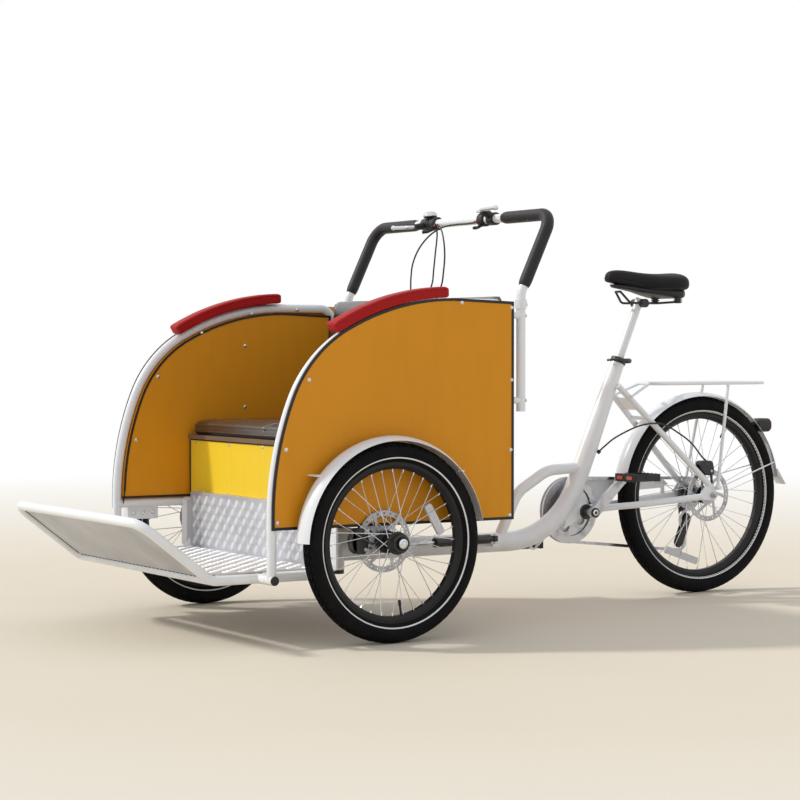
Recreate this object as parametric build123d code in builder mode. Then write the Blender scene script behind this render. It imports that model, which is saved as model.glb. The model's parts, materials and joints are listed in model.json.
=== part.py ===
from build123d import *
import os
from math import asin, atan2, cos, degrees, hypot, radians, sin

# Cycle rickshaw with a two-wheeled passenger carriage steered in front of a rear cycle frame.
# Millimetres. +X is forward, +Y is to the rider's left, +Z is up, and the ground is at z = 0.
# Lengthwise places are given from the front axle, and ahead() turns them into X.

os.makedirs("parts", exist_ok=True)

# Wheels
front_tyre_r = 257
rear_tyre_r = 302
wheelbase = 1429
track = 1050
tyre_width = 54
rim_seat_below_tread = 51
rim_width = 30
rim_depth = 18
spoke_count = 36
spoke_d = 2.2
spoke_lead_deg = 62
running_gap = 0.05
rotor_d = 160
rotor_thick = 2

# Overall reach, from the front axle
apron_reach = 658
fender_reach = 1769
axle_x = (fender_reach - apron_reach) / 2

# Steering
kingpin_back = 143
kingpin_d = 24
head_tube_d = 40
head_tube_bottom_z = 136
head_tube_top_z = 288

# Rear frame
main_tube_d = 57
main_tube_z = 188
main_corner_back = 894
main_bend_r = 270
seat_tube_top_d = 42
seat_tube_mid = (1016, 470)
seat_tube_top = (1118, 706)
brace_d = 32
bottom_bracket_back = 976
bottom_bracket_z = 267
bottom_bracket_width = 68
stay_d = 19
dropout_half_gap = 67.5
dropout_thick = 6
rear_axle_d = 10

# Cabin side, seen along Y
cabin_front = 321
cabin_rear = -408
panel_bottom_z = 298
front_rise_z = 330
low_arc_r = 790
low_arc_turn = 22
shoulder_r = 344
shoulder_turn = 40
crown_r = 695
panel_rear_top_z = 875
skin = 3
seat_gap = 0.3
hoop_d = 25
wheel_to_hoop = 64
hoop_y = track / 2 - wheel_to_hoop
hoop_inset = 6
hoop_drop = 6
rail_z = 311
rear_leg_back = 392
rear_bend_r = 40
skin_edge_y = hoop_y + hoop_d / 2 + seat_gap
panel_outer_y = skin_edge_y + skin
inner_wall_y = hoop_y - hoop_d / 2 - seat_gap - skin
rear_panel_top_z = 760

# Seat and footwell
floor_tube_d = 25
floor_half_width = hoop_y - 64
floor_z = 171
fold_ahead = 452
apron_front_z = 322
post_ahead = 104
plate_thick = 3
kick_top_z = 342
deck_top_z = 503
deck_thick = 12
cushion_thick = 40
cushion_front = 100
cushion_back = -300
back_thick = 40
back_top_z = 900
back_lean = 78
armrest_width = 50
armrest_thick = 28

# Handlebar
bar_d = 25
upright_back = 447
upright_y = hoop_y - 6
upright_foot_z = 583
upright_bend_z = 900
bar_back = 550
bar_z = 1115
bar_corner_r = 50
foam_d = 34
foam_inner_end_y = 225
control_y = 160

# Damper between the rear frame and the carriage
damper_frame_eye = (630, 62)
damper_carriage_eye = (203, 110)
damper_z = 205
damper_d = 27
damper_rod_d = 10
damper_body_reach = 222

# Rear end
rack_z = 645
rack_tube_d = 10
rack_front = -1222
rack_rear = -1658
rack_half_width = 60
saddle_front = -1075
saddle_rear = -1335
saddle_top_z = 985
post_d = 26
chain_y = -50
chain_width = 7
chain_height = 9
ring_r = 88
cog_r = 42
crank_length = 155
jockey_r = 18.5
jockey_at_back = (1425, 224)
lower_jockey_at_back = (1395, 152)
link_pitch = 12.7
cable_d = 5


def ahead(distance):
    """X of a place that lies this far ahead of the front axle."""
    return axle_x + distance


def rod(start, end, diameter):
    """Straight round bar added to the part in hand."""
    run = Vector(*end) - Vector(*start)
    with BuildSketch(Plane(origin=start, z_dir=run)) as section:
        Circle(diameter / 2)
    extrude(section.sketch, amount=run.length)


def bent_tube(points, radius, diameter):
    """Round tube along straight runs joined by bends, added to the part in hand."""
    with BuildLine() as route:
        FilletPolyline(*points, radius=radius)
    with BuildSketch(Plane(origin=route.line @ 0, z_dir=route.line % 0)) as section:
        Circle(diameter / 2)
    sweep(section.sketch, path=route.line)


def cope(start, end, diameter):
    """Trim the part in hand to a neighbouring tube, leaving the seat gap."""
    run = Vector(*end) - Vector(*start)
    with BuildSketch(Plane(origin=start, z_dir=run)) as section:
        Circle(diameter / 2 + seat_gap)
    extrude(section.sketch, amount=run.length, mode=Mode.SUBTRACT)


def block(low, high):
    """Box from its low corner to its high corner, added to the part in hand."""
    size = [b - a for a, b in zip(low, high)]
    centre = [(a + b) / 2 for a, b in zip(low, high)]
    with Locations(tuple(centre)):
        Box(*size)


def slab(outline, y_from, y_to, mode=Mode.ADD):
    """Extrude an outline drawn in the XZ plane between two Y places."""
    low, high = sorted((y_from, y_to))
    face = outline.moved(Location((0, high, 0)))
    extrude(face, amount=high - low, dir=(0, -1, 0), mode=mode)


def arc_point(centre, radius, angle):
    """Point of a circle in the XZ plane."""
    return (centre[0] + radius * cos(radians(angle)), centre[1] + radius * sin(radians(angle)))


# Centres of the three arcs that make the cabin's front edge
shoulder_start = low_arc_turn
crown_start = low_arc_turn + shoulder_turn
low_centre = (ahead(cabin_front) - low_arc_r, front_rise_z)
shoulder_centre = arc_point(low_centre, low_arc_r - shoulder_r, shoulder_start)
crown_centre = arc_point(shoulder_centre, shoulder_r - crown_r, crown_start)


def cabin_outline(inset, drop=0, bottom=panel_bottom_z, rear=cabin_rear, corner=0):
    """Outline of a cabin side in the XZ plane, its curved edge moved in and down."""
    def lowered(centre):
        return (centre[0], centre[1] - drop)

    with BuildSketch(Plane.XZ) as outline:
        with BuildLine():
            start = (ahead(cabin_front) - inset, bottom)
            rise = Line(start, (start[0], front_rise_z - drop))
            low = CenterArc(lowered(low_centre), low_arc_r - inset, 0, low_arc_turn)
            shoulder = CenterArc(
                lowered(shoulder_centre), shoulder_r - inset, shoulder_start, shoulder_turn
            )
            crown = CenterArc(lowered(crown_centre), crown_r - inset, crown_start, 90 - crown_start)
            top = Line(crown @ 1, (ahead(rear), panel_rear_top_z - inset - drop))
            back = Line(top @ 1, (ahead(rear), bottom))
            Line(back @ 1, start)
        make_face()
        if corner:
            fillet(outline.vertices().group_by(Axis.X)[0].sort_by(Axis.Y)[-1], corner)
    return outline.sketch


def wheel_section_plane(x, y, z):
    """Plane through a wheel's axis, with its sketch axes along Y and Z."""
    return Plane(origin=(x, y, z), x_dir=(0, 1, 0), z_dir=(1, 0, 0))


def make_tyre(x, y, radius):
    """Round tyre with a flat bead seat, added to the part in hand."""
    seat_r = radius - rim_seat_below_tread
    with BuildSketch(wheel_section_plane(x, y, radius)) as section:
        with BuildLine():
            crown = ThreePointArc(
                (-tyre_width / 2, radius - tyre_width / 2 - 2),
                (0, radius),
                (tyre_width / 2, radius - tyre_width / 2 - 2),
            )
            right = Line(crown @ 1, (rim_width / 2, seat_r))
            left = Line(right @ 1, (-rim_width / 2, seat_r))
            Line(left @ 1, crown @ 0)
        make_face()
    revolve(section.sketch, axis=Axis((x, y, radius), (0, 1, 0)))


def make_laced_wheel(x, y, radius, flange_half, flange_r, barrel, bore_r):
    """Rim, hub and spokes as one piece, added to the part in hand."""
    seat_r = radius - rim_seat_below_tread
    axis = Axis((x, y, radius), (0, 1, 0))
    with BuildSketch(wheel_section_plane(x, y, radius)) as rim:
        Polygon(
            (-rim_width / 2, seat_r),
            (-rim_width / 2, seat_r - rim_depth / 2),
            (-rim_width / 4, seat_r - rim_depth),
            (rim_width / 4, seat_r - rim_depth),
            (rim_width / 2, seat_r - rim_depth / 2),
            (rim_width / 2, seat_r),
            align=None,
        )
    revolve(rim.sketch, axis=axis)
    with BuildSketch(wheel_section_plane(x, y, radius)) as hub:
        with BuildLine():
            Polyline(
                (barrel[0], bore_r),
                (barrel[0], barrel[2] * 0.75),
                (-flange_half - 2, barrel[2] * 0.75),
                (-flange_half - 2, flange_r + 4),
                (-flange_half + 2, flange_r + 4),
                (-flange_half + 6, barrel[2]),
                (flange_half - 6, barrel[2]),
                (flange_half - 2, flange_r + 4),
                (flange_half + 2, flange_r + 4),
                (flange_half + 2, barrel[2] * 0.75),
                (barrel[1], barrel[2] * 0.75),
                (barrel[1], bore_r),
                (barrel[0], bore_r),
            )
        make_face()
    revolve(hub.sketch, axis=axis)
    rim_r = seat_r - rim_depth + 2
    planes = []
    for index in range(spoke_count):
        side = 1 if index % 2 else -1
        lead = spoke_lead_deg if index % 4 < 2 else -spoke_lead_deg
        rim_angle = 360 * index / spoke_count
        rim_at = Vector(x + rim_r * cos(radians(rim_angle)), y, radius + rim_r * sin(radians(rim_angle)))
        hub_angle = rim_angle + lead
        hub_at = Vector(
            x + flange_r * cos(radians(hub_angle)),
            y + side * flange_half,
            radius + flange_r * sin(radians(hub_angle)),
        )
        planes.append(Plane(origin=hub_at, z_dir=rim_at - hub_at))
        reach = (rim_at - hub_at).length
    with BuildSketch(*planes) as spokes:
        RegularPolygon(spoke_d / 2, 6)
    extrude(spokes.sketch, amount=reach)


def make_rotor(x, y, z, bore_r):
    """Brake disc with a drilled band and curved arms, added to the part in hand."""
    band = 15
    with BuildSketch(Plane.XZ) as disc:
        with Locations((x, z)):
            Circle(rotor_d / 2)
            Circle(rotor_d / 2 - band, mode=Mode.SUBTRACT)
            Circle(bore_r + 16)
            with PolarLocations(rotor_d / 4 + 6, 6):
                Rectangle(rotor_d / 2 - 24, 8, rotation=24)
            Circle(bore_r, mode=Mode.SUBTRACT)
            with PolarLocations(rotor_d / 2 - band / 2, 24):
                RegularPolygon(2.6, 6, mode=Mode.SUBTRACT)
    slab(disc.sketch, y - rotor_thick / 2, y + rotor_thick / 2)


def make_fender(x, y, z, radius, width, start_angle, sweep_angle):
    """Curved mudguard shell round a wheel, added to the part in hand."""
    edge = 12
    turned = wheel_section_plane(x, y, z).location * Location((0, 0, 0), (start_angle, 0, 0))
    half = width / 2
    with BuildSketch(Plane(turned)) as section:
        with BuildLine():
            outer = ThreePointArc((-half, radius - edge), (0, radius), (half, radius - edge))
            right = Line(outer @ 1, (half - 2, radius - edge))
            inner = ThreePointArc(right @ 1, (0, radius - 2), (2 - half, radius - edge))
            Line(inner @ 1, outer @ 0)
        make_face()
    revolve(section.sketch, axis=Axis((x, y, z), (0, -1, 0)), revolution_arc=sweep_angle)


sides = ((1, "left"), (-1, "right"))
kingpin_x = ahead(-kingpin_back)
rear_x = ahead(-wheelbase)

# Front wheels: hub, rim and spokes, tyre, brake disc
hub_half = 26
stub_d = 15
hub_inner = -44
hub_outer = 46
rotor_offset = 41
for side, hand in sides:
    wheel_y = side * track / 2

    with BuildPart() as front_tyre:
        make_tyre(ahead(0), wheel_y, front_tyre_r)
    front_tyre.part.label = f"front_tyre_{hand}"
    export_step(front_tyre.part, f"parts/front_tyre_{hand}.step")

    with BuildPart() as front_wheel:
        barrel = (hub_inner, hub_outer, 20) if side > 0 else (-hub_outer, -hub_inner, 20)
        make_laced_wheel(
            ahead(0), wheel_y, front_tyre_r, hub_half, 25, barrel, stub_d / 2 + running_gap
        )
        cope_from = wheel_y - side * (rotor_offset - rotor_thick / 2 - seat_gap)
        with BuildSketch(Plane.XZ) as seat:
            with Locations((ahead(0), front_tyre_r)):
                Circle(19)
                Circle(13, mode=Mode.SUBTRACT)
        slab(seat.sketch, cope_from, wheel_y + side * hub_inner, mode=Mode.SUBTRACT)
    front_wheel.part.label = f"front_wheel_{hand}"
    export_step(front_wheel.part, f"parts/front_wheel_{hand}.step")

    with BuildPart() as front_rotor:
        make_rotor(ahead(0), wheel_y - side * rotor_offset, front_tyre_r, 13 + seat_gap)
    front_rotor.part.label = f"front_rotor_{hand}"
    export_step(front_rotor.part, f"parts/front_rotor_{hand}.step")

# Rear wheel: tyre, laced wheel, brake disc on the left, sprockets on the right
rear_hub_end = dropout_half_gap - 4
rear_rotor_y = 50
with BuildPart() as rear_tyre:
    make_tyre(rear_x, 0, rear_tyre_r)
rear_tyre.part.label = "rear_tyre"
export_step(rear_tyre.part, "parts/rear_tyre.step")

with BuildPart() as rear_wheel:
    barrel = (-rear_hub_end, rear_hub_end, 17)
    make_laced_wheel(
        rear_x, 0, rear_tyre_r, 27, 22, barrel, rear_axle_d / 2 + running_gap
    )
rear_wheel.part.label = "rear_wheel"
export_step(rear_wheel.part, "parts/rear_wheel.step")

with BuildPart() as rear_rotor:
    make_rotor(rear_x, rear_rotor_y, rear_tyre_r, 17 * 0.75 + seat_gap)
rear_rotor.part.label = "rear_rotor"
export_step(rear_rotor.part, "parts/rear_rotor.step")

cog_pitch = 5
cog_thick = 2
with BuildPart() as sprockets:
    for index in range(5):
        cog_y = chain_y + cog_pitch * (2 - index)
        cog_radius = cog_r + 4 * (2 - index)
        with BuildSketch(Plane.XZ) as cog:
            with Locations((rear_x, rear_tyre_r)):
                Circle(cog_radius - 1.5)
                with PolarLocations(cog_radius - 2, 18):
                    Rectangle(4, 4)
        slab(cog.sketch, cog_y - cog_thick / 2, cog_y + cog_thick / 2)
    rod((rear_x, chain_y - 12, rear_tyre_r), (rear_x, chain_y + 12, rear_tyre_r), 44)
    cope((rear_x, -70, rear_tyre_r), (rear_x, 0, rear_tyre_r), 17 * 1.5)
sprockets.part.label = "sprockets"
export_step(sprockets.part, "parts/sprockets.step")

# Rear frame, welded: head tube, main and seat tube, brace, bottom bracket, stays, dropouts
with BuildPart() as main_frame:
    bent_tube(
        [
            (kingpin_x, 0, main_tube_z),
            (ahead(-main_corner_back), 0, main_tube_z),
            (ahead(-seat_tube_mid[0]), 0, seat_tube_mid[1]),
        ],
        main_bend_r,
        main_tube_d,
    )
    seat_low = Vector(ahead(-seat_tube_mid[0]), 0, seat_tube_mid[1])
    seat_high = Vector(ahead(-seat_tube_top[0]), 0, seat_tube_top[1])
    seat_axis = seat_high - seat_low
    taper_lap = 6
    taper_start = seat_low - seat_axis.normalized() * taper_lap
    with Locations(Plane(origin=taper_start, z_dir=seat_axis).location):
        Cone(
            main_tube_d / 2 - 0.3,
            seat_tube_top_d / 2,
            seat_axis.length + taper_lap,
            align=(Align.CENTER, Align.CENTER, Align.MIN),
        )
    rod((kingpin_x, 0, head_tube_bottom_z), (kingpin_x, 0, head_tube_top_z), head_tube_d)
    bent_tube(
        [
            (ahead(-685), 0, 196),
            (ahead(-752), 0, 330),
            (ahead(-860), 0, 392),
            (ahead(-990), 0, 398),
        ],
        [90, 120],
        brace_d,
    )
    shell_half = bottom_bracket_width / 2
    shell_at = (ahead(-bottom_bracket_back), bottom_bracket_z)
    rod((shell_at[0], -shell_half, shell_at[1]), (shell_at[0], shell_half, shell_at[1]), 44)
    with BuildSketch(Plane.XZ) as web:
        Polygon(
            (shell_at[0] + 6, shell_at[1] - 18),
            (shell_at[0] + 70, shell_at[1] - 50),
            (shell_at[0] + 20, shell_at[1] + 120),
            (shell_at[0] - 18, shell_at[1] + 10),
            align=None,
        )
    for plate_y in (-20, 16):
        slab(web.sketch, plate_y, plate_y + 4)
    stay_top = Vector(ahead(-1098), 0, 640)
    stay_low = Vector(rear_x + 14, 0, rear_tyre_r + 34)
    stay_low_y = dropout_half_gap + 3
    for side, hand in sides:
        bent_tube(
            [
                (shell_at[0] - 5, side * 24, shell_at[1] + 2),
                (shell_at[0] - 105, side * 28, shell_at[1] + 10),
                (shell_at[0] - 172, side * 46, shell_at[1] + 14),
                (rear_x + 42, side * (dropout_half_gap + 3), rear_tyre_r - 3),
            ],
            50,
            20,
        )
        rod((stay_top.X, side * 30, stay_top.Z), (stay_low.X, side * stay_low_y, stay_low.Z), stay_d)
        with BuildSketch(Plane.XZ) as dropout:
            with BuildLine():
                Polyline(
                    (rear_x + 46, rear_tyre_r - 12),
                    (rear_x + 46, rear_tyre_r + 6),
                    (rear_x + 22, rear_tyre_r + 36),
                    (rear_x - 2, rear_tyre_r + 36),
                    (rear_x - 20, rear_tyre_r),
                    (rear_x - 8, rear_tyre_r - 16),
                    (rear_x + 46, rear_tyre_r - 12),
                )
            make_face()
            with Locations((rear_x, rear_tyre_r)):
                Circle(rear_axle_d / 2 + seat_gap, mode=Mode.SUBTRACT)
        slab(dropout.sketch, side * dropout_half_gap, side * (dropout_half_gap + dropout_thick))
    bridge_share = 0.325
    bridge_at = stay_top + (stay_low - stay_top) * bridge_share
    bridge_y = 30 + (stay_low_y - 30) * bridge_share
    rod((bridge_at.X, -bridge_y, bridge_at.Z), (bridge_at.X, bridge_y, bridge_at.Z), 12)
    stay_run = stay_low - stay_top
    tie_plane = Plane(origin=stay_top, x_dir=(0, 1, 0), z_dir=Vector(0, 1, 0).cross(stay_run))
    with BuildSketch(tie_plane) as tie:
        with Locations((0, 80)):
            Rectangle(72, 50)
    extrude(tie.sketch, amount=2, both=True)
    eye_x, eye_y = ahead(-damper_frame_eye[0]), damper_frame_eye[1]
    block((eye_x - 14, 10, damper_z - 22), (eye_x + 14, eye_y + 12, damper_z - 14))
    rod((eye_x, eye_y, damper_z - 16), (eye_x, eye_y, damper_z + 14), 8)
    with BuildSketch(Plane(origin=seat_high, z_dir=-seat_axis)) as post_bore:
        Circle(post_d / 2 + seat_gap)
    extrude(post_bore.sketch, amount=120, mode=Mode.SUBTRACT)
    with BuildSketch(Plane.XY.offset(head_tube_bottom_z - 1)) as king_bore:
        with Locations((kingpin_x, 0)):
            Circle(kingpin_d / 2 + running_gap)
    extrude(king_bore.sketch, amount=head_tube_top_z - head_tube_bottom_z + 2, mode=Mode.SUBTRACT)
    spindle_d = 20
    with BuildSketch(Plane.XZ) as spindle_bore:
        with Locations(shell_at):
            Circle(spindle_d / 2 + running_gap)
    slab(spindle_bore.sketch, -shell_half - 1, shell_half + 1, mode=Mode.SUBTRACT)
main_frame.part.label = "main_frame"
export_step(main_frame.part, "parts/main_frame.step")


# Parts on the rear frame
with BuildPart() as rear_axle:
    axle_half = dropout_half_gap + dropout_thick + 16
    rod((rear_x, -axle_half, rear_tyre_r), (rear_x, axle_half, rear_tyre_r), rear_axle_d)
    nut_from = dropout_half_gap + dropout_thick + seat_gap
    for side, hand in sides:
        rod((rear_x, side * nut_from, rear_tyre_r), (rear_x, side * (nut_from + 8), rear_tyre_r), 19)
        rod(
            (rear_x, side * (rear_hub_end + seat_gap), rear_tyre_r),
            (rear_x, side * (dropout_half_gap - seat_gap), rear_tyre_r),
            17,
        )
rear_axle.part.label = "rear_axle"
export_step(rear_axle.part, "parts/rear_axle.step")

post_top = seat_high + seat_axis.normalized() * 212
post_foot = seat_high - seat_axis.normalized() * 100
with BuildPart() as seat_post:
    rod(post_foot, post_top, post_d)
seat_post.part.label = "seat_post"
export_step(seat_post.part, "parts/seat_post.step")

with BuildPart() as seat_clamp:
    clamp_foot = seat_high + seat_axis.normalized() * seat_gap
    clamp_top = clamp_foot + seat_axis.normalized() * 16
    rod(clamp_foot, clamp_top, seat_tube_top_d + 6)
    cope(clamp_foot, clamp_top, post_d)
    lug = clamp_foot + seat_axis.normalized() * 8
    with BuildSketch(Plane(origin=lug + Vector(-31, -12, 0), z_dir=(0, 1, 0))) as lever_root:
        Circle(7)
    extrude(lever_root.sketch, amount=32)
    rod(lug + Vector(-31, 18, 0), lug + Vector(-30, 30, -42), 8)
seat_clamp.part.label = "seat_clamp"
export_step(seat_clamp.part, "parts/seat_clamp.step")

# Saddle cover lofted from three sections, on rails with coil springs at the back
saddle_sections = (
    # ahead, half width, top z, depth
    (saddle_front, 20, saddle_top_z - 12, 34),
    (-1170, 34, saddle_top_z - 6, 46),
    (-1250, 84, saddle_top_z - 4, 56),
    (saddle_rear, 96, saddle_top_z, 62),
)
with BuildPart() as saddle:
    faces = []
    for place, half, top, depth in saddle_sections:
        section_centre = (ahead(place), 0, top - depth / 2)
        with BuildSketch(Plane(origin=section_centre, x_dir=(0, 1, 0), z_dir=(1, 0, 0))) as cut:
            RectangleRounded(half * 2, depth, depth * 0.35)
        faces.append(cut.sketch.face())
    loft(faces)
saddle.part.label = "saddle"
export_step(saddle.part, "parts/saddle.step")

rail_top_z = saddle_top_z - 62 - 0.8
rail_low_z = rail_top_z - 34
with BuildPart() as saddle_rails:
    for side, hand in sides:
        bent_tube(
            [
                (ahead(-1120), side * 12, saddle_top_z - 63),
                (ahead(-1150), side * 22, rail_low_z),
                (ahead(-1250), side * 22, rail_low_z),
                (ahead(-1300), side * 50, rail_top_z - 30),
            ],
            [20, 25],
            7,
        )
        for turn in range(5):
            spring_z = rail_top_z - 6 - turn * 6
            with Locations((ahead(-1305), side * 55, spring_z)):
                Cylinder(13, 4)
        rod((ahead(-1305), side * 55, rail_top_z - 34), (ahead(-1305), side * 55, rail_top_z), 18)
    rod((ahead(-1120), -13, saddle_top_z - 63), (ahead(-1120), 13, saddle_top_z - 63), 7)
    clamp_x = post_top.X
    rod((clamp_x, -30, rail_low_z), (clamp_x, 30, rail_low_z), 26)
    cope(post_foot, post_top + seat_axis.normalized() * 1, post_d)
saddle_rails.part.label = "saddle_rails"
export_step(saddle_rails.part, "parts/saddle_rails.step")

# Carrier of round tube with two legs, two struts and a mudguard bracket
with BuildPart() as rear_rack:
    rack_a, rack_b = ahead(rack_front), ahead(rack_rear)
    middle = (rack_a + rack_b) / 2
    for side, hand in sides:
        bent_tube(
            [
                (middle, side * rack_half_width, rack_z),
                (rack_b, side * rack_half_width, rack_z),
                (rack_b, 0, rack_z),
            ],
            35,
            rack_tube_d,
        )
        bent_tube(
            [
                (middle, side * rack_half_width, rack_z),
                (rack_a, side * rack_half_width, rack_z),
                (rack_a, 0, rack_z),
            ],
            35,
            rack_tube_d,
        )
        rod((rack_a, side * 20, rack_z), (rack_b, side * 20, rack_z), rack_tube_d - 2)
        rod(
            (ahead(-1500), side * rack_half_width, rack_z),
            (rear_x - 14, side * (dropout_half_gap + dropout_thick + 6), rear_tyre_r + 24),
            rack_tube_d,
        )
        rod(
            (rear_x - 14, side * (dropout_half_gap + dropout_thick + seat_gap), rear_tyre_r + 24),
            (rear_x - 14, side * (dropout_half_gap + dropout_thick + 11), rear_tyre_r + 24),
            14,
        )
        rod(
            (rack_a, side * 24, rack_z),
            (ahead(-1132), side * 50, 606),
            rack_tube_d - 2,
        )
    for place in (-1300, -1400, -1500, -1600):
        ends = [(ahead(place), side * rack_half_width, rack_z) for side in (-1, 1)]
        rod(ends[0], ends[1], rack_tube_d - 2)
rear_rack.part.label = "rear_rack"
export_step(rear_rack.part, "parts/rear_rack.step")

rear_fender_r = 315
with BuildPart() as rear_fender:
    make_fender(rear_x, 0, rear_tyre_r, rear_fender_r, 58, 82, 164)
    tip_x = ahead(-fender_reach)
    with BuildSketch(Plane.XZ) as flare:
        Polygon(
            arc_point((rear_x, rear_tyre_r), rear_fender_r - 1.9, 168),
            arc_point((rear_x, rear_tyre_r), rear_fender_r - 0.1, 167),
            (tip_x, rear_tyre_r + 22),
            (tip_x + 2, rear_tyre_r + 21),
            align=None,
        )
    slab(flare.sketch, -22, 22)
    hub_at = Vector(rear_x, 0, rear_tyre_r)
    bracket_run = (Vector(bridge_at.X, 0, bridge_at.Z) - hub_at).normalized()
    bracket_top = bridge_at - bracket_run * (6 + seat_gap)
    rod(hub_at + bracket_run * (rear_fender_r - 1), bracket_top, 14)
    lug_x, lug_z = rear_x - 14, rear_tyre_r + 24
    for side, hand in sides:
        wire_y = side * (dropout_half_gap + dropout_thick + 11 + seat_gap)
        rod((lug_x, wire_y, lug_z), (lug_x, wire_y + side * 5, lug_z), 12)
        wire_end = arc_point((rear_x, rear_tyre_r), rear_fender_r - 10.5, 162)
        rod((lug_x, wire_y + side * 3.9, lug_z), (wire_end[0], side * 28, wire_end[1]), 4)
rear_fender.part.label = "rear_fender"
export_step(rear_fender.part, "parts/rear_fender.step")

# Carriage frame
with BuildPart() as chassis:
    cross_half = hoop_y
    crossbars = (
        # ahead, z, diameter
        (-kingpin_back, rail_z, hoop_d),
        (post_ahead, rail_z, hoop_d),
        (-rear_leg_back, rail_z, 20),
        (-rear_leg_back, deck_top_z - deck_thick - seat_gap - 10, 20),
        (-rear_leg_back, 640, 20),
    )
    for place, height, diameter in crossbars:
        rod((ahead(place), -cross_half, height), (ahead(place), cross_half, height), diameter)
    for side, hand in sides:
        hoop_side = side * hoop_y
        cope((ahead(-rear_leg_back - 60), hoop_side, rail_z), (ahead(cabin_front), hoop_side, rail_z), hoop_d)
        cope((ahead(-rear_leg_back), hoop_side, rail_z - 20), (ahead(-rear_leg_back), hoop_side, 700), hoop_d)
    boss_bottom_z = head_tube_top_z + 5
    rod((kingpin_x, 0, boss_bottom_z), (kingpin_x, 0, rail_z + 20), 52)
    rod((kingpin_x, 0, head_tube_bottom_z - 6), (kingpin_x, 0, rail_z), kingpin_d)
    for side, hand in sides:
        ladder_y = side * damper_carriage_eye[1]
        rod((ahead(-rear_leg_back), ladder_y, rail_z), (ahead(post_ahead), ladder_y, rail_z), 22)
        rod((ahead(-rear_leg_back), ladder_y, rail_z), (ahead(-rear_leg_back), ladder_y, 640), 18)
        rod((ahead(0), ladder_y, front_tyre_r), (ahead(0), ladder_y, rail_z), 30)
    beam_half = hoop_y - 6
    block((ahead(-20), -beam_half, front_tyre_r - 20), (ahead(20), beam_half, front_tyre_r + 20))
    for side, hand in sides:
        plate_in, plate_out = sorted((side * (hoop_y - 7), side * (hoop_y + 7)))
        block(
            (ahead(-45), plate_in, front_tyre_r - 32),
            (ahead(45), plate_out, rail_z - hoop_d / 2 - seat_gap),
        )
        stub_foot = (ahead(0), side * (hoop_y + 5), front_tyre_r)
        stub_end = side * (track / 2 + hub_outer + 3)
        spacer_end = side * (track / 2 + hub_inner - seat_gap)
        rod(stub_foot, (ahead(0), stub_end, front_tyre_r), stub_d)
        rod(stub_foot, (ahead(0), spacer_end, front_tyre_r), 26)
    arm_x = ahead(-damper_carriage_eye[0])
    arm_y = damper_carriage_eye[1]
    block((arm_x - 16, arm_y - 16, damper_z + 20), (arm_x + 16, arm_y + 16, damper_z + 26))
    rod((arm_x, arm_y, damper_z + 24), (arm_x, arm_y, rail_z), 16)
chassis.part.label = "chassis"
export_step(chassis.part, "parts/chassis.step")

with BuildPart() as headset:
    with BuildSketch(Plane.XY.offset(head_tube_top_z + seat_gap)) as race:
        with Locations((kingpin_x, 0)):
            Circle(head_tube_d / 2)
            Circle(kingpin_d / 2 + seat_gap, mode=Mode.SUBTRACT)
    extrude(race.sketch, amount=boss_bottom_z - head_tube_top_z - 2 * seat_gap)
    with BuildSketch(Plane.XY.offset(head_tube_bottom_z - 11)) as cap:
        with Locations((kingpin_x, 0)):
            Circle(head_tube_d / 2 - 1)
    extrude(cap.sketch, amount=11 - seat_gap)
    cope((kingpin_x, 0, head_tube_bottom_z - 6 - seat_gap), (kingpin_x, 0, head_tube_bottom_z), kingpin_d)
headset.part.label = "headset"
export_step(headset.part, "parts/headset.step")

# Cap on each front axle
for side, hand in sides:
    with BuildPart() as axle_nut:
        nut_y = side * (track / 2 + hub_outer + seat_gap)
        nut_end = side * (track / 2 + hub_outer + 8)
        rod((ahead(0), nut_y, front_tyre_r), (ahead(0), nut_end, front_tyre_r), 28)
        cope(
            (ahead(0), nut_y - side, front_tyre_r),
            (ahead(0), side * (track / 2 + hub_outer + 3 + seat_gap), front_tyre_r),
            stub_d,
        )
    axle_nut.part.label = f"axle_nut_{hand}"
    export_step(axle_nut.part, f"parts/axle_nut_{hand}.step")

# Hoop of each side: front post, curved front, top, rear leg and bottom rail
hoop_front_x = ahead(cabin_front) - hoop_inset
rear_leg_x = ahead(-rear_leg_back)


def dropped(centre):
    """Arc centre of the hoop, which lies a little lower than the panel's edge."""
    return (centre[0], centre[1] - hoop_drop)


hoop_crown = arc_point(dropped(crown_centre), crown_r - hoop_inset, 90)
for side, hand in sides:
    with BuildPart() as hoop:
        with BuildLine(Plane.XZ.offset(-side * hoop_y)) as hoop_path:
            Line((hoop_front_x, floor_z), (hoop_front_x, front_rise_z - hoop_drop))
            CenterArc(dropped(low_centre), low_arc_r - hoop_inset, 0, low_arc_turn)
            CenterArc(dropped(shoulder_centre), shoulder_r - hoop_inset, shoulder_start, shoulder_turn)
            CenterArc(dropped(crown_centre), crown_r - hoop_inset, crown_start, 90 - crown_start)
            Line(hoop_crown, (rear_leg_x + rear_bend_r, hoop_crown[1]))
            CenterArc(
                (rear_leg_x + rear_bend_r, hoop_crown[1] - rear_bend_r), rear_bend_r, 90, 90
            )
            Line((rear_leg_x, hoop_crown[1] - rear_bend_r), (rear_leg_x, rail_z))
        with BuildSketch(Plane((hoop_front_x, side * hoop_y, floor_z))) as hoop_section:
            Circle(hoop_d / 2)
        sweep(hoop_section.sketch, path=hoop_path.line)
        rod((hoop_front_x, side * hoop_y, rail_z), (ahead(-rear_leg_back), side * hoop_y, rail_z), hoop_d)
        cope((hoop_front_x, -hoop_y - 20, floor_z), (hoop_front_x, hoop_y + 20, floor_z), floor_tube_d)
    hoop.part.label = f"hoop_{hand}"
    export_step(hoop.part, f"parts/hoop_{hand}.step")

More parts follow.
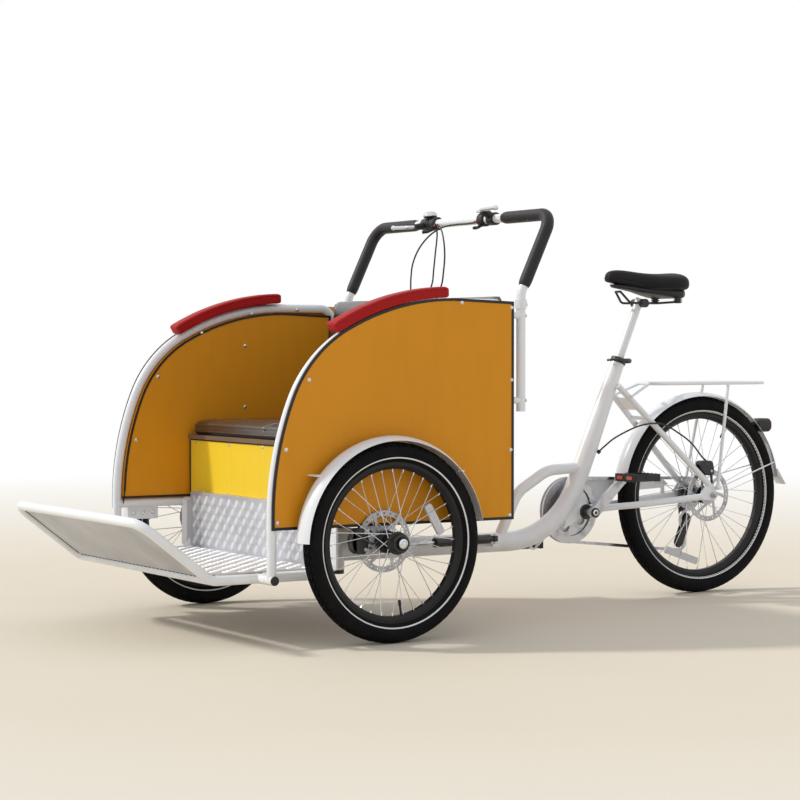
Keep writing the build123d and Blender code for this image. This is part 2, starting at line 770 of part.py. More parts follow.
# Footwell frame: one bent tube from post to post round the apron, with cross tubes
apron_front = apron_reach - floor_tube_d / 2
with BuildPart() as floor_frame:
    post_top_z = rail_z - hoop_d / 2
    bent_tube(
        [
            (ahead(post_ahead), floor_half_width, post_top_z + 6),
            (ahead(post_ahead), floor_half_width, floor_z),
            (ahead(fold_ahead), floor_half_width, floor_z),
            (ahead(apron_front), floor_half_width, apron_front_z),
            (ahead(apron_front), -floor_half_width, apron_front_z),
            (ahead(fold_ahead), -floor_half_width, floor_z),
            (ahead(post_ahead), -floor_half_width, floor_z),
            (ahead(post_ahead), -floor_half_width, post_top_z + 6),
        ],
        48,
        floor_tube_d,
    )
    rod((ahead(fold_ahead), -floor_half_width, floor_z), (ahead(fold_ahead), floor_half_width, floor_z), 20)
    rod((hoop_front_x, -hoop_y - 16, floor_z), (hoop_front_x, hoop_y + 16, floor_z), floor_tube_d)
    cross_x = ahead(post_ahead + 60)
    rod((cross_x, -floor_half_width, floor_z), (cross_x, floor_half_width, floor_z), floor_tube_d)
    past_posts = floor_half_width + 20
    cope((ahead(post_ahead), -past_posts, rail_z), (ahead(post_ahead), past_posts, rail_z), hoop_d)
floor_frame.part.label = "floor_frame"
export_step(floor_frame.part, "parts/floor_frame.step")

floor_top_z = floor_z + floor_tube_d / 2 + seat_gap
inner_half = floor_half_width - floor_tube_d / 2 - seat_gap
kick_x = ahead(post_ahead) + floor_tube_d / 2 + seat_gap + plate_thick
with BuildPart() as floor_plate:
    block(
        (kick_x + seat_gap, -inner_half, floor_top_z),
        (ahead(fold_ahead - 20), inner_half, floor_top_z + plate_thick),
    )
floor_plate.part.label = "floor_plate"
export_step(floor_plate.part, "parts/floor_plate.step")

slope = Vector(apron_front - fold_ahead, 0, apron_front_z - floor_z)
with BuildPart() as apron_plate:
    apron_plane = Plane(
        origin=(ahead(fold_ahead), 0, floor_z), x_dir=slope, z_dir=slope.cross(Vector(0, 1, 0))
    )
    with BuildSketch(apron_plane) as apron:
        depth = slope.length - floor_tube_d / 2 - seat_gap
        Polygon(
            (18, -inner_half), (depth, -inner_half), (depth, inner_half), (18, inner_half), align=None
        )
        fillet(apron.vertices().group_by(Axis.X)[-1], 48 - floor_tube_d / 2 - seat_gap)
    extrude(apron.sketch, amount=plate_thick / 2, both=True)
apron_plate.part.label = "apron_plate"
export_step(apron_plate.part, "parts/apron_plate.step")

wall_half = inner_wall_y - seat_gap
riser_x = ahead(post_ahead) - floor_tube_d / 2 - seat_gap
with BuildPart() as kick_plate:
    block(
        (kick_x - plate_thick, -inner_half, floor_top_z),
        (kick_x, inner_half, kick_top_z),
    )
    block((riser_x + seat_gap, -inner_half, kick_top_z - plate_thick), (kick_x, inner_half, kick_top_z))
kick_plate.part.label = "kick_plate"
export_step(kick_plate.part, "parts/kick_plate.step")

deck_low_z = deck_top_z - deck_thick
with BuildPart() as seat_riser:
    block((riser_x - 4, -wall_half, rail_z + 20), (riser_x, wall_half, deck_low_z - seat_gap))
seat_riser.part.label = "seat_riser"
export_step(seat_riser.part, "parts/seat_riser.step")

rear_panel_x = ahead(-rear_leg_back) - 10 - seat_gap
with BuildPart() as rear_panel:
    block(
        (rear_panel_x - plate_thick, -wall_half, panel_bottom_z),
        (rear_panel_x, wall_half, rear_panel_top_z),
    )
rear_panel.part.label = "rear_panel"
export_step(rear_panel.part, "parts/rear_panel.step")

with BuildPart() as seat_deck:
    block((rear_panel_x + seat_gap, -wall_half, deck_low_z), (riser_x + 6, wall_half, deck_top_z))
    for side, hand in sides:
        strut_y = side * damper_carriage_eye[1]
        cope((rear_leg_x, strut_y, deck_low_z - 5), (rear_leg_x, strut_y, deck_top_z + 5), 18)
seat_deck.part.label = "seat_deck"
export_step(seat_deck.part, "parts/seat_deck.step")

cushion_low_z = deck_top_z + seat_gap
with BuildPart() as seat_cushion:
    block(
        (ahead(cushion_back), -wall_half + 4, cushion_low_z),
        (ahead(cushion_front), wall_half - 4, cushion_low_z + cushion_thick),
    )
    fillet(seat_cushion.edges().filter_by(Axis.Y).group_by(Axis.X)[-1], 14)
seat_cushion.part.label = "seat_cushion"
export_step(seat_cushion.part, "parts/seat_cushion.step")

with BuildPart() as backrest:
    with BuildSketch(Plane.XZ) as back:
        back_foot = ahead(cushion_back) - 1
        Polygon(
            (back_foot, cushion_low_z),
            (back_foot - back_lean, back_top_z),
            (back_foot - back_lean - back_thick, back_top_z),
            (back_foot - back_thick, cushion_low_z),
            align=None,
        )
        fillet(back.vertices().group_by(Axis.Y)[-1], back_thick * 0.45)
    slab(back.sketch, -wall_half + 6, wall_half - 6)
backrest.part.label = "backrest"
export_step(backrest.part, "parts/backrest.step")

# Cabin sides: outer skin over the hoop, and a core inside it as thick as the wall
core_inset = hoop_inset + hoop_d / 2 + seat_gap
core_low = rail_z + hoop_d / 2 + seat_gap
core_rear = -rear_leg_back + hoop_d / 2 + seat_gap
core_corner = rear_bend_r - hoop_d / 2 - seat_gap
for side, hand in sides:
    with BuildPart() as side_panel:
        slab(cabin_outline(0), side * skin_edge_y, side * panel_outer_y)
        core = cabin_outline(core_inset, hoop_drop, core_low, core_rear, core_corner)
        slab(core, side * inner_wall_y, side * skin_edge_y)
    side_panel.part.label = f"side_panel_{hand}"
    export_step(side_panel.part, f"parts/side_panel_{hand}.step")

# Padded armrest along the top of each cabin side
arm_gap = 2
arm_start = 58
arm_end = 88
for side, hand in sides:
    with BuildPart() as armrest:
        with BuildSketch(Plane.XZ) as arm:
            with BuildLine():
                low_r = shoulder_r + arm_gap
                high_r = crown_r + arm_gap
                in_a = CenterArc(shoulder_centre, low_r, arm_start, crown_start - arm_start)
                in_b = CenterArc(crown_centre, high_r, crown_start, arm_end - crown_start)
                out_a = CenterArc(shoulder_centre, low_r + armrest_thick, arm_start, crown_start - arm_start)
                out_b = CenterArc(crown_centre, high_r + armrest_thick, crown_start, arm_end - crown_start)
                Line(in_a @ 0, out_a @ 0)
                Line(in_b @ 1, out_b @ 1)
            make_face()
        outer = panel_outer_y + 3
        slab(arm.sketch, side * (outer - armrest_width), side * outer)
    armrest.part.label = f"armrest_{hand}"
    export_step(armrest.part, f"parts/armrest_{hand}.step")

# Front mudguards, each with a bracket to the cabin side
front_fender_r = front_tyre_r + 16
for side, hand in sides:
    with BuildPart() as front_fender:
        make_fender(ahead(0), side * track / 2, front_tyre_r, front_fender_r, 66, 88, 168)
        for angle in (40, 140):
            top = arc_point((ahead(0), front_tyre_r), front_fender_r + 1, angle)
            near, far = sorted((side * (panel_outer_y + seat_gap), side * (track / 2)))
            block((top[0] - 10, near, top[1] - 2), (top[0] + 10, far, top[1] + 2))
    front_fender.part.label = f"front_fender_{hand}"
    export_step(front_fender.part, f"parts/front_fender_{hand}.step")

# Front brake calipers on the axle plates
for side, hand in sides:
    with BuildPart() as caliper:
        disc_y = track / 2 - rotor_offset
        for inner, outer in ((-14, -6), (6, 11)):
            low, high = sorted((side * (disc_y + inner), side * (disc_y + outer)))
            block((ahead(58), low, front_tyre_r - 30), (ahead(88), high, front_tyre_r + 38))
        low, high = sorted((side * (disc_y - 14), side * (disc_y + 11)))
        block((ahead(86), low, front_tyre_r - 30), (ahead(100), high, front_tyre_r + 38))
        low, high = sorted((side * (hoop_y - 6), side * (disc_y - 6)))
        block((ahead(45 + seat_gap), low, front_tyre_r - 10), (ahead(60), high, front_tyre_r + 20))
    caliper.part.label = f"front_caliper_{hand}"
    export_step(caliper.part, f"parts/front_caliper_{hand}.step")

# Handlebar: two uprights leaning back to a cross bar, bracketed to the hoops
bar_points = [
    (ahead(-upright_back), 1, upright_foot_z),
    (ahead(-upright_back), 1, upright_bend_z),
    (ahead(-bar_back), 1, bar_z),
]
with BuildPart() as handlebar:
    route = [(x, y * upright_y, z) for x, y, z in bar_points]
    route += [(x, -y * upright_y, z) for x, y, z in reversed(bar_points)]
    bent_tube(route, [60, bar_corner_r, bar_corner_r, 60], bar_d)
    for side, hand in sides:
        for bracket_z in (upright_foot_z + 30, upright_bend_z - 60):
            rod(
                (ahead(-upright_back), side * upright_y, bracket_z),
                (ahead(-rear_leg_back), side * hoop_y, bracket_z),
                18,
            )
        cope((ahead(-rear_leg_back), side * hoop_y, 560), (ahead(-rear_leg_back), side * hoop_y, 860), hoop_d)
        collar_z = upright_bend_z - 30
        rod(
            (ahead(-upright_back), side * upright_y, collar_z - 12),
            (ahead(-upright_back), side * upright_y, collar_z + 12),
            bar_d + 7,
        )
handlebar.part.label = "handlebar"
export_step(handlebar.part, "parts/handlebar.step")

for side, hand in sides:
    with BuildPart() as grip:
        lean = Vector(bar_points[2][0] - bar_points[1][0], 0, bar_z - upright_bend_z).normalized()
        foot = Vector(bar_points[1][0], side * upright_y, upright_bend_z) + lean * 20
        grip_route = [
            foot,
            Vector(ahead(-bar_back), side * upright_y, bar_z),
            Vector(ahead(-bar_back), side * foam_inner_end_y, bar_z),
        ]
        with BuildLine() as grip_path:
            FilletPolyline(*grip_route, radius=bar_corner_r)
        with BuildSketch(Plane(origin=foot, z_dir=lean)) as ring:
            Circle(foam_d / 2)
            Circle(bar_d / 2 + seat_gap, mode=Mode.SUBTRACT)
        sweep(ring.sketch, path=grip_path.line)
    grip.part.label = f"foam_grip_{hand}"
    export_step(grip.part, f"parts/foam_grip_{hand}.step")

# Brake levers and shifters on the cross bar
for side, hand in sides:
    with BuildPart() as control:
        at = (ahead(-bar_back), side * control_y, bar_z)
        rod((at[0], at[1] - 18, at[2]), (at[0], at[1] + 18, at[2]), bar_d + 12)
        rod((at[0] + 6, at[1], at[2]), (at[0] + 34, at[1], at[2] + 16), 30)
        bent_tube(
            [
                (at[0] + 20, at[1] - side * 6, at[2]),
                (at[0] + 55, at[1] + side * 10, at[2] - 6),
                (at[0] + 58, at[1] + side * 105, at[2] - 14),
            ],
            16,
            9,
        )
        cope((at[0], at[1] - 30, at[2]), (at[0], at[1] + 30, at[2]), bar_d)
    control.part.label = f"hand_control_{hand}"
    export_step(control.part, f"parts/hand_control_{hand}.step")

# Crankset: ring, guards, spindle and two crank arms
crank_turn = 42
with BuildPart() as crankset:
    rod((shell_at[0], -75, shell_at[1]), (shell_at[0], 75, shell_at[1]), spindle_d)
    with BuildSketch(Plane.XZ) as ring:
        with Locations(shell_at):
            Circle(ring_r - 1.5)
            with PolarLocations(ring_r - 2, 36):
                Rectangle(4, 4.5)
            with PolarLocations(50, 5):
                Circle(17, mode=Mode.SUBTRACT)
    slab(ring.sketch, chain_y - 1, chain_y + 1)
    with BuildSketch(Plane.XZ) as guard:
        with Locations(shell_at):
            Circle(100)
            Circle(78, mode=Mode.SUBTRACT)
    slab(guard.sketch, chain_y + 4.5, chain_y + 6.5)
    for turn in range(5):
        place = arc_point(shell_at, 80, 18 + 72 * turn)
        rod((place[0], chain_y - 2, place[1]), (place[0], chain_y + 6, place[1]), 6)
    for side, hand in sides:
        turn = 180 - crank_turn if side > 0 else -crank_turn
        arm_in = (69, 81)
        with BuildSketch(Plane.XZ) as arm:
            tip = arc_point(shell_at, crank_length, turn)
            with BuildLine():
                hub_r, tip_r = 17, 12
                side_a = arc_point(shell_at, hub_r, turn + 90)
                side_b = arc_point(tip, tip_r, turn + 90)
                side_c = arc_point(tip, tip_r, turn - 90)
                side_d = arc_point(shell_at, hub_r, turn - 90)
                Line(side_a, side_b)
                ThreePointArc(side_b, arc_point(tip, tip_r, turn), side_c)
                Line(side_c, side_d)
                ThreePointArc(side_d, arc_point(shell_at, hub_r, turn + 180), side_a)
            make_face()
            with Locations(tip):
                Circle(6, mode=Mode.SUBTRACT)
        slab(arm.sketch, side * arm_in[0], side * arm_in[1])
crankset.part.label = "crankset"
export_step(crankset.part, "parts/crankset.step")

for side, hand in sides:
    turn = 180 - crank_turn if side > 0 else -crank_turn
    tip = arc_point(shell_at, crank_length, turn)
    with BuildPart() as pedal:
        rod((tip[0], side * 69, tip[1]), (tip[0], side * 184, tip[1]), 2 * (6 - running_gap))
        for place in (-42, 42):
            low, high = sorted((side * 88, side * 182))
            block((tip[0] + place - 6, low, tip[1] - 11), (tip[0] + place + 6, high, tip[1] + 11))
        for rib in (90, 135, 180):
            low, high = sorted((side * (rib - 3), side * (rib + 3)))
            block((tip[0] - 44, low, tip[1] - 10), (tip[0] + 44, high, tip[1] + 10))
    pedal.part.label = f"pedal_{hand}"
    export_step(pedal.part, f"parts/pedal_{hand}.step")

# Chain of links round the ring, the sprocket and the derailleur's two wheels
cog_at = (rear_x, rear_tyre_r)
upper_jockey = (ahead(-jockey_at_back[0]), jockey_at_back[1])
lower_jockey = (ahead(-lower_jockey_at_back[0]), lower_jockey_at_back[1])
chain_clear = 1.5
chain_lift = chain_clear + chain_height / 2
chain_wheels = (
    # centre, radius of the chain's centre line, turning way
    (shell_at, ring_r + chain_lift, 1),
    (lower_jockey, jockey_r + chain_lift, 1),
    (upper_jockey, jockey_r + chain_lift, -1),
    (cog_at, cog_r + chain_lift, 1),
)


def tangent_angle(first, second):
    """Direction in which the chain runs from one wheel to the next, in degrees."""
    (centre_a, radius_a, way_a), (centre_b, radius_b, way_b) = first, second
    across = (centre_b[0] - centre_a[0], centre_b[1] - centre_a[1])
    distance = hypot(*across)
    return degrees(
        atan2(across[1], across[0]) - asin((way_a * radius_a - way_b * radius_b) / distance)
    )


def chain_route():
    """Pin places along the closed chain, one link pitch apart."""
    with BuildLine() as loop:
        count = len(chain_wheels)
        headings = [
            tangent_angle(chain_wheels[k], chain_wheels[(k + 1) % count]) for k in range(count)
        ]
        for k, (centre, radius, way) in enumerate(chain_wheels):
            start = headings[k - 1] + 90 * way
            turn = (headings[k - 1] - headings[k]) * way % 360
            arc = CenterArc(centre, radius, start, -turn * way)
            after = chain_wheels[(k + 1) % count]
            Line(arc @ 1, arc_point(after[0], after[1], headings[k] + 90 * after[2]))
    links = 2 * round(loop.wires()[0].length / link_pitch / 2)
    return [loop.wires()[0].position_at(k / links) for k in range(links)]


pins = chain_route()
link_half = chain_height / 2
with BuildPart() as chain:
    for first_link, thick in ((0, chain_width), (1, chain_width - 2.4)):
        with BuildSketch(Plane.XZ) as row:
            for k in range(first_link, len(pins), 2):
                here, there = pins[k], pins[(k + 1) % len(pins)]
                run = there - here
                reach = run.length / 2
                with Locations(Location(tuple((here + there) / 2), (0, 0, degrees(atan2(run.Y, run.X))))):
                    Polygon(
                        (-reach - link_half, 0),
                        (-reach, link_half),
                        (reach, link_half),
                        (reach + link_half, 0),
                        (reach, -link_half),
                        (-reach, -link_half),
                        align=None,
                    )
        slab(row.sketch, chain_y - thick / 2, chain_y + thick / 2)
chain.part.label = "chain"
export_step(chain.part, "parts/chain.step")

# Derailleur: hanger under the dropout, knuckle, cage plates and two toothed wheels
cage_half = 5.5
knuckle_d = 18
with BuildPart() as derailleur:
    hanger_low, hanger_high = -dropout_half_gap - dropout_thick, -dropout_half_gap
    with BuildSketch(Plane.XZ) as hanger:
        Polygon(
            (upper_jockey[0] - 12, upper_jockey[1] + 2),
            (upper_jockey[0] + 10, upper_jockey[1] + 2),
            (rear_x + 20, rear_tyre_r - 14.3),
            (rear_x - 8, rear_tyre_r - 16.3),
            align=None,
        )
    slab(hanger.sketch, hanger_low, hanger_high)
    knuckle = (upper_jockey[0] - 1, upper_jockey[1] + 10)
    rod((knuckle[0], hanger_low, knuckle[1]), (knuckle[0], chain_y - cage_half - 1, knuckle[1]), knuckle_d)
    with BuildSketch(Plane.XZ) as cage:
        for centre in (upper_jockey, lower_jockey):
            with Locations(centre):
                Circle(13)
        make_hull()
    for plate_y in (chain_y - cage_half - 1.5, chain_y + cage_half):
        slab(cage.sketch, plate_y, plate_y + 1.5)
    for centre in (upper_jockey, lower_jockey):
        pin_half = cage_half + 1
        rod((centre[0], chain_y - pin_half, centre[1]), (centre[0], chain_y + pin_half, centre[1]), 9)
        with BuildSketch(Plane.XZ) as jockey:
            with Locations(centre):
                Circle(jockey_r - 2.5)
                with PolarLocations(jockey_r - 2.5, 11):
                    Rectangle(4, 4)
        slab(jockey.sketch, chain_y - 1.2, chain_y + 1.2)
derailleur.part.label = "derailleur"
export_step(derailleur.part, "parts/derailleur.step")

# Chain guard: a disc outside the ring, drawn out to a point over the chain's top run
guard_y = chain_y - chain_width / 2 - 5
guard_thick = 2.5
guard_r = 100
guard_tail = ((-1330, 356), (-1360, 333), (-1330, 322), (-1150, 314), (-1030, 200))
with BuildPart() as chain_guard:
    with BuildSketch(Plane.XZ) as guard_face:
        with Locations(shell_at):
            Circle(guard_r)
        tail = [(ahead(a), b) for a, b in guard_tail]
        Polygon((shell_at[0], shell_at[1] + guard_r), *tail, align=None)
        with Locations(shell_at):
            Circle(spindle_d / 2 + 6, mode=Mode.SUBTRACT)
    slab(guard_face.sketch, guard_y - guard_thick, guard_y)
    block((ahead(-1346), guard_y - 5, 296), (ahead(-1332), guard_y, 336))
    cope(
        (shell_at[0] - 172, -46, shell_at[1] + 14),
        (rear_x + 42, -dropout_half_gap - 3, rear_tyre_r - 3),
        20,
    )
chain_guard.part.label = "chain_guard"
export_step(chain_guard.part, "parts/chain_guard.step")

# Rear brake: caliper over the disc, bracketed to the left dropout, and its hose
rear_caliper_x = rear_x + 8
caliper_top = rear_tyre_r + 106
pad_in = 6
pad_out = 14
cheek_outline = ((27, 68), (40, 92), (36, 106), (-10, 106), (-16, 62), (18, 60))
with BuildPart() as rear_caliper:
    with BuildSketch(Plane.XZ) as cheek:
        Polygon(*[(rear_x + a, rear_tyre_r + b) for a, b in cheek_outline], align=None)
    slab(cheek.sketch, rear_rotor_y - pad_out, rear_rotor_y - pad_in)
    slab(cheek.sketch, rear_rotor_y + pad_in, rear_rotor_y + pad_out)
    block(
        (rear_x - 10, rear_rotor_y - pad_out, rear_tyre_r + rotor_d / 2 + 6),
        (rear_x + 34, rear_rotor_y + pad_out, caliper_top),
    )
    block(
        (rear_x - 14, rear_rotor_y + 10, rear_tyre_r + 20),
        (rear_x, dropout_half_gap - seat_gap, rear_tyre_r + 68),
    )
rear_caliper.part.label = "rear_caliper"
export_step(rear_caliper.part, "parts/rear_caliper.step")

hose_route = [
    (ahead(-1033), 16, 440),
    (ahead(-1085), 42, 488),
    (ahead(-1160), 58, 521),
    (ahead(-1240), 59, 527),
    (ahead(-1310), 56, 488),
    (ahead(-1370), 52, 452),
    (rear_caliper_x, rear_rotor_y, 446),
    (rear_caliper_x, rear_rotor_y, caliper_top + seat_gap),
]
with BuildPart() as rear_hose:
    bent_tube(hose_route, [38, 38, 38, 38, 38, 30], cable_d)
    grommet_run = Vector(*hose_route[1]) - Vector(*hose_route[0])
    rod(hose_route[0], Vector(*hose_route[0]) + grommet_run.normalized() * 10, 12)
    cope((ahead(-main_corner_back), 0, main_tube_z), seat_low, main_tube_d)
rear_hose.part.label = "rear_hose"
export_step(rear_hose.part, "parts/rear_hose.step")

# Rear light on the mudguard
light_back = 1722
light_z = 511
light_width = 58
light_height = 44
with BuildPart() as rear_light:
    with BuildSketch(Plane.YZ.offset(ahead(-light_back))) as lamp:
        with Locations((0, light_z)):
            RectangleRounded(light_width, light_height, 14)
    extrude(lamp.sketch, amount=70)
    cope((rear_x, -60, rear_tyre_r), (rear_x, 60, rear_tyre_r), 2 * rear_fender_r)
rear_light.part.label = "rear_light"
export_step(rear_light.part, "parts/rear_light.step")

# Control cables from the bar down to grommets in the rear panel
cable_drop = 50
cable_bend_r = 28
cable_routes = (
    # name, then points as ahead, y, z
    (
        "cable_right",
        [(-545, -128, 1096), (-528, -190, 1040), (-516, -205, 935), (-470, -185, 860), (-440, -160, 800)],
    ),
    (
        "cable_middle",
        [(-543, -106, 1094), (-522, -104, 1030), (-514, -104, 938), (-470, -107, 862), (-440, -110, 800)],
    ),
    (
        "cable_left",
        [
            (-545, 128, 1096),
            (-533, 70, 1070),
            (-520, 20, 1010),
            (-514, 0, 938),
            (-470, -15, 862),
            (-440, -40, 800),
        ],
    ),
)
for cable_name, places in cable_routes:
    with BuildPart() as cable:
        points = [(ahead(a), b, c) for a, b, c in places]
        last = points[-1]
        points.append((last[0], last[1], last[2] - cable_drop))
        points.append((rear_panel_x - plate_thick - seat_gap, last[1], last[2] - cable_drop))
        bent_tube(points, cable_bend_r, cable_d)
    cable.part.label = cable_name
    export_step(cable.part, f"parts/{cable_name}.step")

# Damper between the frame and the carriage
eye = Vector(ahead(-damper_frame_eye[0]), damper_frame_eye[1], damper_z)
far_eye = Vector(ahead(-damper_carriage_eye[0]), damper_carriage_eye[1], damper_z)
damper_line = (far_eye - eye).normalized()
with BuildPart() as damper_body:
    rod(eye + Vector(0, 0, -8), eye + Vector(0, 0, 8), 20)
    rod(eye, eye + damper_line * 30, 12)
    rod(eye + damper_line * 20, eye + damper_line * damper_body_reach, damper_d)
    cope_r = 8 + 2 * running_gap - 2 * seat_gap
    cope(eye + Vector(0, 0, -20), eye + Vector(0, 0, 20), cope_r)
    with BuildSketch(Plane(origin=eye + damper_line * 40, z_dir=damper_line)) as bore:
        Circle(damper_rod_d / 2 + running_gap)
    extrude(bore.sketch, amount=damper_body_reach, mode=Mode.SUBTRACT)
damper_body.part.label = "damper_body"
export_step(damper_body.part, "parts/damper_body.step")

with BuildPart() as damper_rod:
    rod(eye + damper_line * 132, far_eye, damper_rod_d)
    rod(far_eye + Vector(0, 0, -9), far_eye + Vector(0, 0, 14), 18)
damper_rod.part.label = "damper_rod"
export_step(damper_rod.part, "parts/damper_rod.step")
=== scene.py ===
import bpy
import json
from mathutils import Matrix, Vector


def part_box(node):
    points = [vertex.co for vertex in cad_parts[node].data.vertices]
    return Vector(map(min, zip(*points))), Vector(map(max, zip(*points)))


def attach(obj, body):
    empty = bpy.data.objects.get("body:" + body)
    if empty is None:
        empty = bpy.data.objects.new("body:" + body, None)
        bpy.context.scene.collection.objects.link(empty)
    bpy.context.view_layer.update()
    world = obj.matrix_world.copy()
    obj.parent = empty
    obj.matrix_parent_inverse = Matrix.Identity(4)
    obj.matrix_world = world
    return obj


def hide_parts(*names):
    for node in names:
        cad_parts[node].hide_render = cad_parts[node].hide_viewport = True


bl_info = {
    "name": "Cycle rickshaw",
    "version": (1, 0, 0),
    "blender": (4, 5, 0),
    "location": "View3D > Sidebar > Rickshaw",
    "description": "Dresses the packed cycle rickshaw with its tyres, padding, trim and finishes",
    "category": "Add Mesh",
}

import json
from collections import namedtuple
from math import acos, ceil, copysign, cos, exp, hypot, pi, radians, sin, tan

import bmesh
import bpy
from bpy.props import FloatProperty, FloatVectorProperty, PointerProperty
from mathutils import Vector, noise
from mathutils.bvhtree import BVHTree

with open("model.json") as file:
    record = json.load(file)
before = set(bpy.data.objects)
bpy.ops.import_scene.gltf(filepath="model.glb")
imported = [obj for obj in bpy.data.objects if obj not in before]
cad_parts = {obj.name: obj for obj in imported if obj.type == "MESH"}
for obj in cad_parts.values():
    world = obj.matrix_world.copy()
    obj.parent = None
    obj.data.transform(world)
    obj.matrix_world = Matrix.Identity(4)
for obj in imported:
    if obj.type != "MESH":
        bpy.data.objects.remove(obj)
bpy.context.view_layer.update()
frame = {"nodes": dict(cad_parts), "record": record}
SIDES = ((1, "left"), (-1, "right"))
AHEAD, LEFT, UP = Vector((1, 0, 0)), Vector((0, 1, 0)), Vector((0, 0, 1))


def corners(node):
    """Lowest and highest corner of a CAD node's box, in metres."""
    low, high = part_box(node)
    return Vector(low), Vector(high)


def middle(node):
    """Centre of a CAD node's box, in metres."""
    low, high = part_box(node)
    return Vector([(a + b) / 2 for a, b in zip(low, high)])


FRONT_HUB = middle("front_tyre_left")
REAR_HUB = middle("rear_tyre")
CRANK_HUB = Vector((FRONT_HUB.x - 0.976, 0, 0.267))


def place(ahead, y, z):
    """Point from millimetres ahead of the front axle, to the left and above the ground."""
    return Vector((FRONT_HUB.x + ahead / 1000, y / 1000, z / 1000))


def around(hub, radius, turn, y):
    """Point at a radius in millimetres and a turn about an axle, with y in metres."""
    return Vector((hub.x + radius * cos(turn) / 1000, y, hub.z + radius * sin(turn) / 1000))


def srgb(red, green, blue):
    """Linear colour from the three values of a picture, 0 to 255."""
    def linear(value):
        value /= 255
        return value / 12.92 if value <= 0.04045 else ((value + 0.055) / 1.055) ** 2.4

    return (linear(red), linear(green), linear(blue))


def shade(colour, factor):
    """A colour made darker or paler, and kept within white."""
    return tuple(min(1.0, part * factor) for part in colour)


# Finishes


class Value:
    """One output of a tree's nodes, used like a number in an expression."""

    def __init__(self, nodes, socket):
        self.nodes = nodes
        self.socket = socket

    def __add__(self, other):
        return self.nodes.maths("ADD", self, other)

    def __radd__(self, other):
        return self.nodes.maths("ADD", other, self)

    def __sub__(self, other):
        return self.nodes.maths("SUBTRACT", self, other)

    def __rsub__(self, other):
        return self.nodes.maths("SUBTRACT", other, self)

    def __mul__(self, other):
        return self.nodes.maths("MULTIPLY", self, other)

    def __rmul__(self, other):
        return self.nodes.maths("MULTIPLY", other, self)

    def __pow__(self, other):
        return self.nodes.maths("POWER", self, other)

    def __gt__(self, other):
        return self.nodes.maths("GREATER_THAN", self, other)

    def __lt__(self, other):
        return self.nodes.maths("LESS_THAN", self, other)

    def between(self, low, high):
        """Rises from 0 at low to 1 at high, and stays within them."""
        settings = {"clamp": True}
        sockets = {"Value": self, "From Min": low, "From Max": high}
        return self.nodes.node("ShaderNodeMapRange", settings, sockets)


class Nodes:
    """The shader nodes of a material or a world, built from expressions."""

    def __init__(self, owner):
        owner.use_nodes = True
        self.tree = owner.node_tree

    def feed(self, socket, value):
        """Links a value to a socket, or sets the socket to a number or colour."""
        if isinstance(value, Value):
            self.tree.links.new(value.socket, socket)
        elif isinstance(value, tuple) and len(value) == 3 and socket.type == "RGBA":
            socket.default_value = (*value, 1)
        else:
            socket.default_value = value

    def node(self, kind, settings=None, sockets=None, output=0):
        """Adds a node, sets it up and returns one of its outputs."""
        made = self.tree.nodes.new(kind)
        for key, value in (settings or {}).items():
            setattr(made, key, value)
        for key, value in (sockets or {}).items():
            self.feed(made.inputs[key], value)
        return Value(self, made.outputs[output])

    def maths(self, operation, first, second=0.0):
        return self.node("ShaderNodeMath", {"operation": operation}, {0: first, 1: second})

    def looked_at(self):
        """1 for what the camera sees, also in metal and through glass, and 0 for other light."""
        camera, glossy, through = (
            self.node("ShaderNodeLightPath", output=f"Is {ray} Ray")
            for ray in ("Camera", "Glossy", "Transmission")
        )
        return (camera + glossy + through).between(0.0, 1.0)


class Finish(Nodes):
    """A procedural material."""

    def __init__(self, name):
        self.material = bpy.data.materials.new(name)
        super().__init__(self.material)
        self.shader = self.tree.nodes["Principled BSDF"]
        self.spots = self.node("ShaderNodeTexCoord", output="Object")

    def axis(self, name):
        return self.node("ShaderNodeSeparateXYZ", sockets={0: self.spots}, output=name)

    def offsets(self, hub):
        """Distances ahead of an axle, above it and away from it."""
        ahead = self.axis("X") - hub.x
        up = self.axis("Z") - hub.z
        return ahead, up, (ahead * ahead + up * up) ** 0.5

    def stretched(self, scales):
        settings = {"operation": "MULTIPLY"}
        return self.node("ShaderNodeVectorMath", settings, {0: self.spots, 1: scales})

    def noise(self, scale, detail=3.0, where=None):
        sockets = {"Vector": where or self.spots, "Scale": scale, "Detail": detail}
        return self.node("ShaderNodeTexNoise", sockets=sockets)

    def cells(self, scale):
        return self.node("ShaderNodeTexVoronoi", sockets={"Vector": self.spots, "Scale": scale})

    def mix(self, share, first, second):
        settings = {"data_type": "RGBA"}
        return self.node("ShaderNodeMix", settings, {0: share, 6: first, 7: second}, output=2)

    def bump(self, height, depth, strength=1.0, below=None):
        sockets = {"Height": height, "Distance": depth, "Strength": strength}
        if below:
            sockets["Normal"] = below
        return self.node("ShaderNodeBump", sockets=sockets)

    def surface(self, **values):
        """Feeds the shader's own sockets, named with underscores for spaces."""
        for key, value in values.items():
            self.feed(self.shader.inputs[key.replace("_", " ")], value)
        return self.material


def enamel(name, colour, gloss=0.24, dust=0.35):
    """Sprayed enamel with faint orange peel, and road dust low down."""
    paint = Finish(name)
    cloud = paint.noise(5.0)
    low = 1 - paint.axis("Z").between(0.02, 0.42)
    dusty = (low * paint.noise(22.0, 6.0) * dust).between(0.06, 0.4) * 0.5
    base = paint.mix(cloud, shade(colour, 0.93), colour)
    return paint.surface(
        Base_Color=paint.mix(dusty, base, srgb(176, 160, 134)),
        Roughness=gloss + paint.noise(40.0) * 0.12 + dusty * 0.5,
        Normal=paint.bump(paint.noise(420.0, 1.0), 0.0004, 0.12),
        Coat_Weight=0.2,
        Coat_Roughness=0.12,
    )


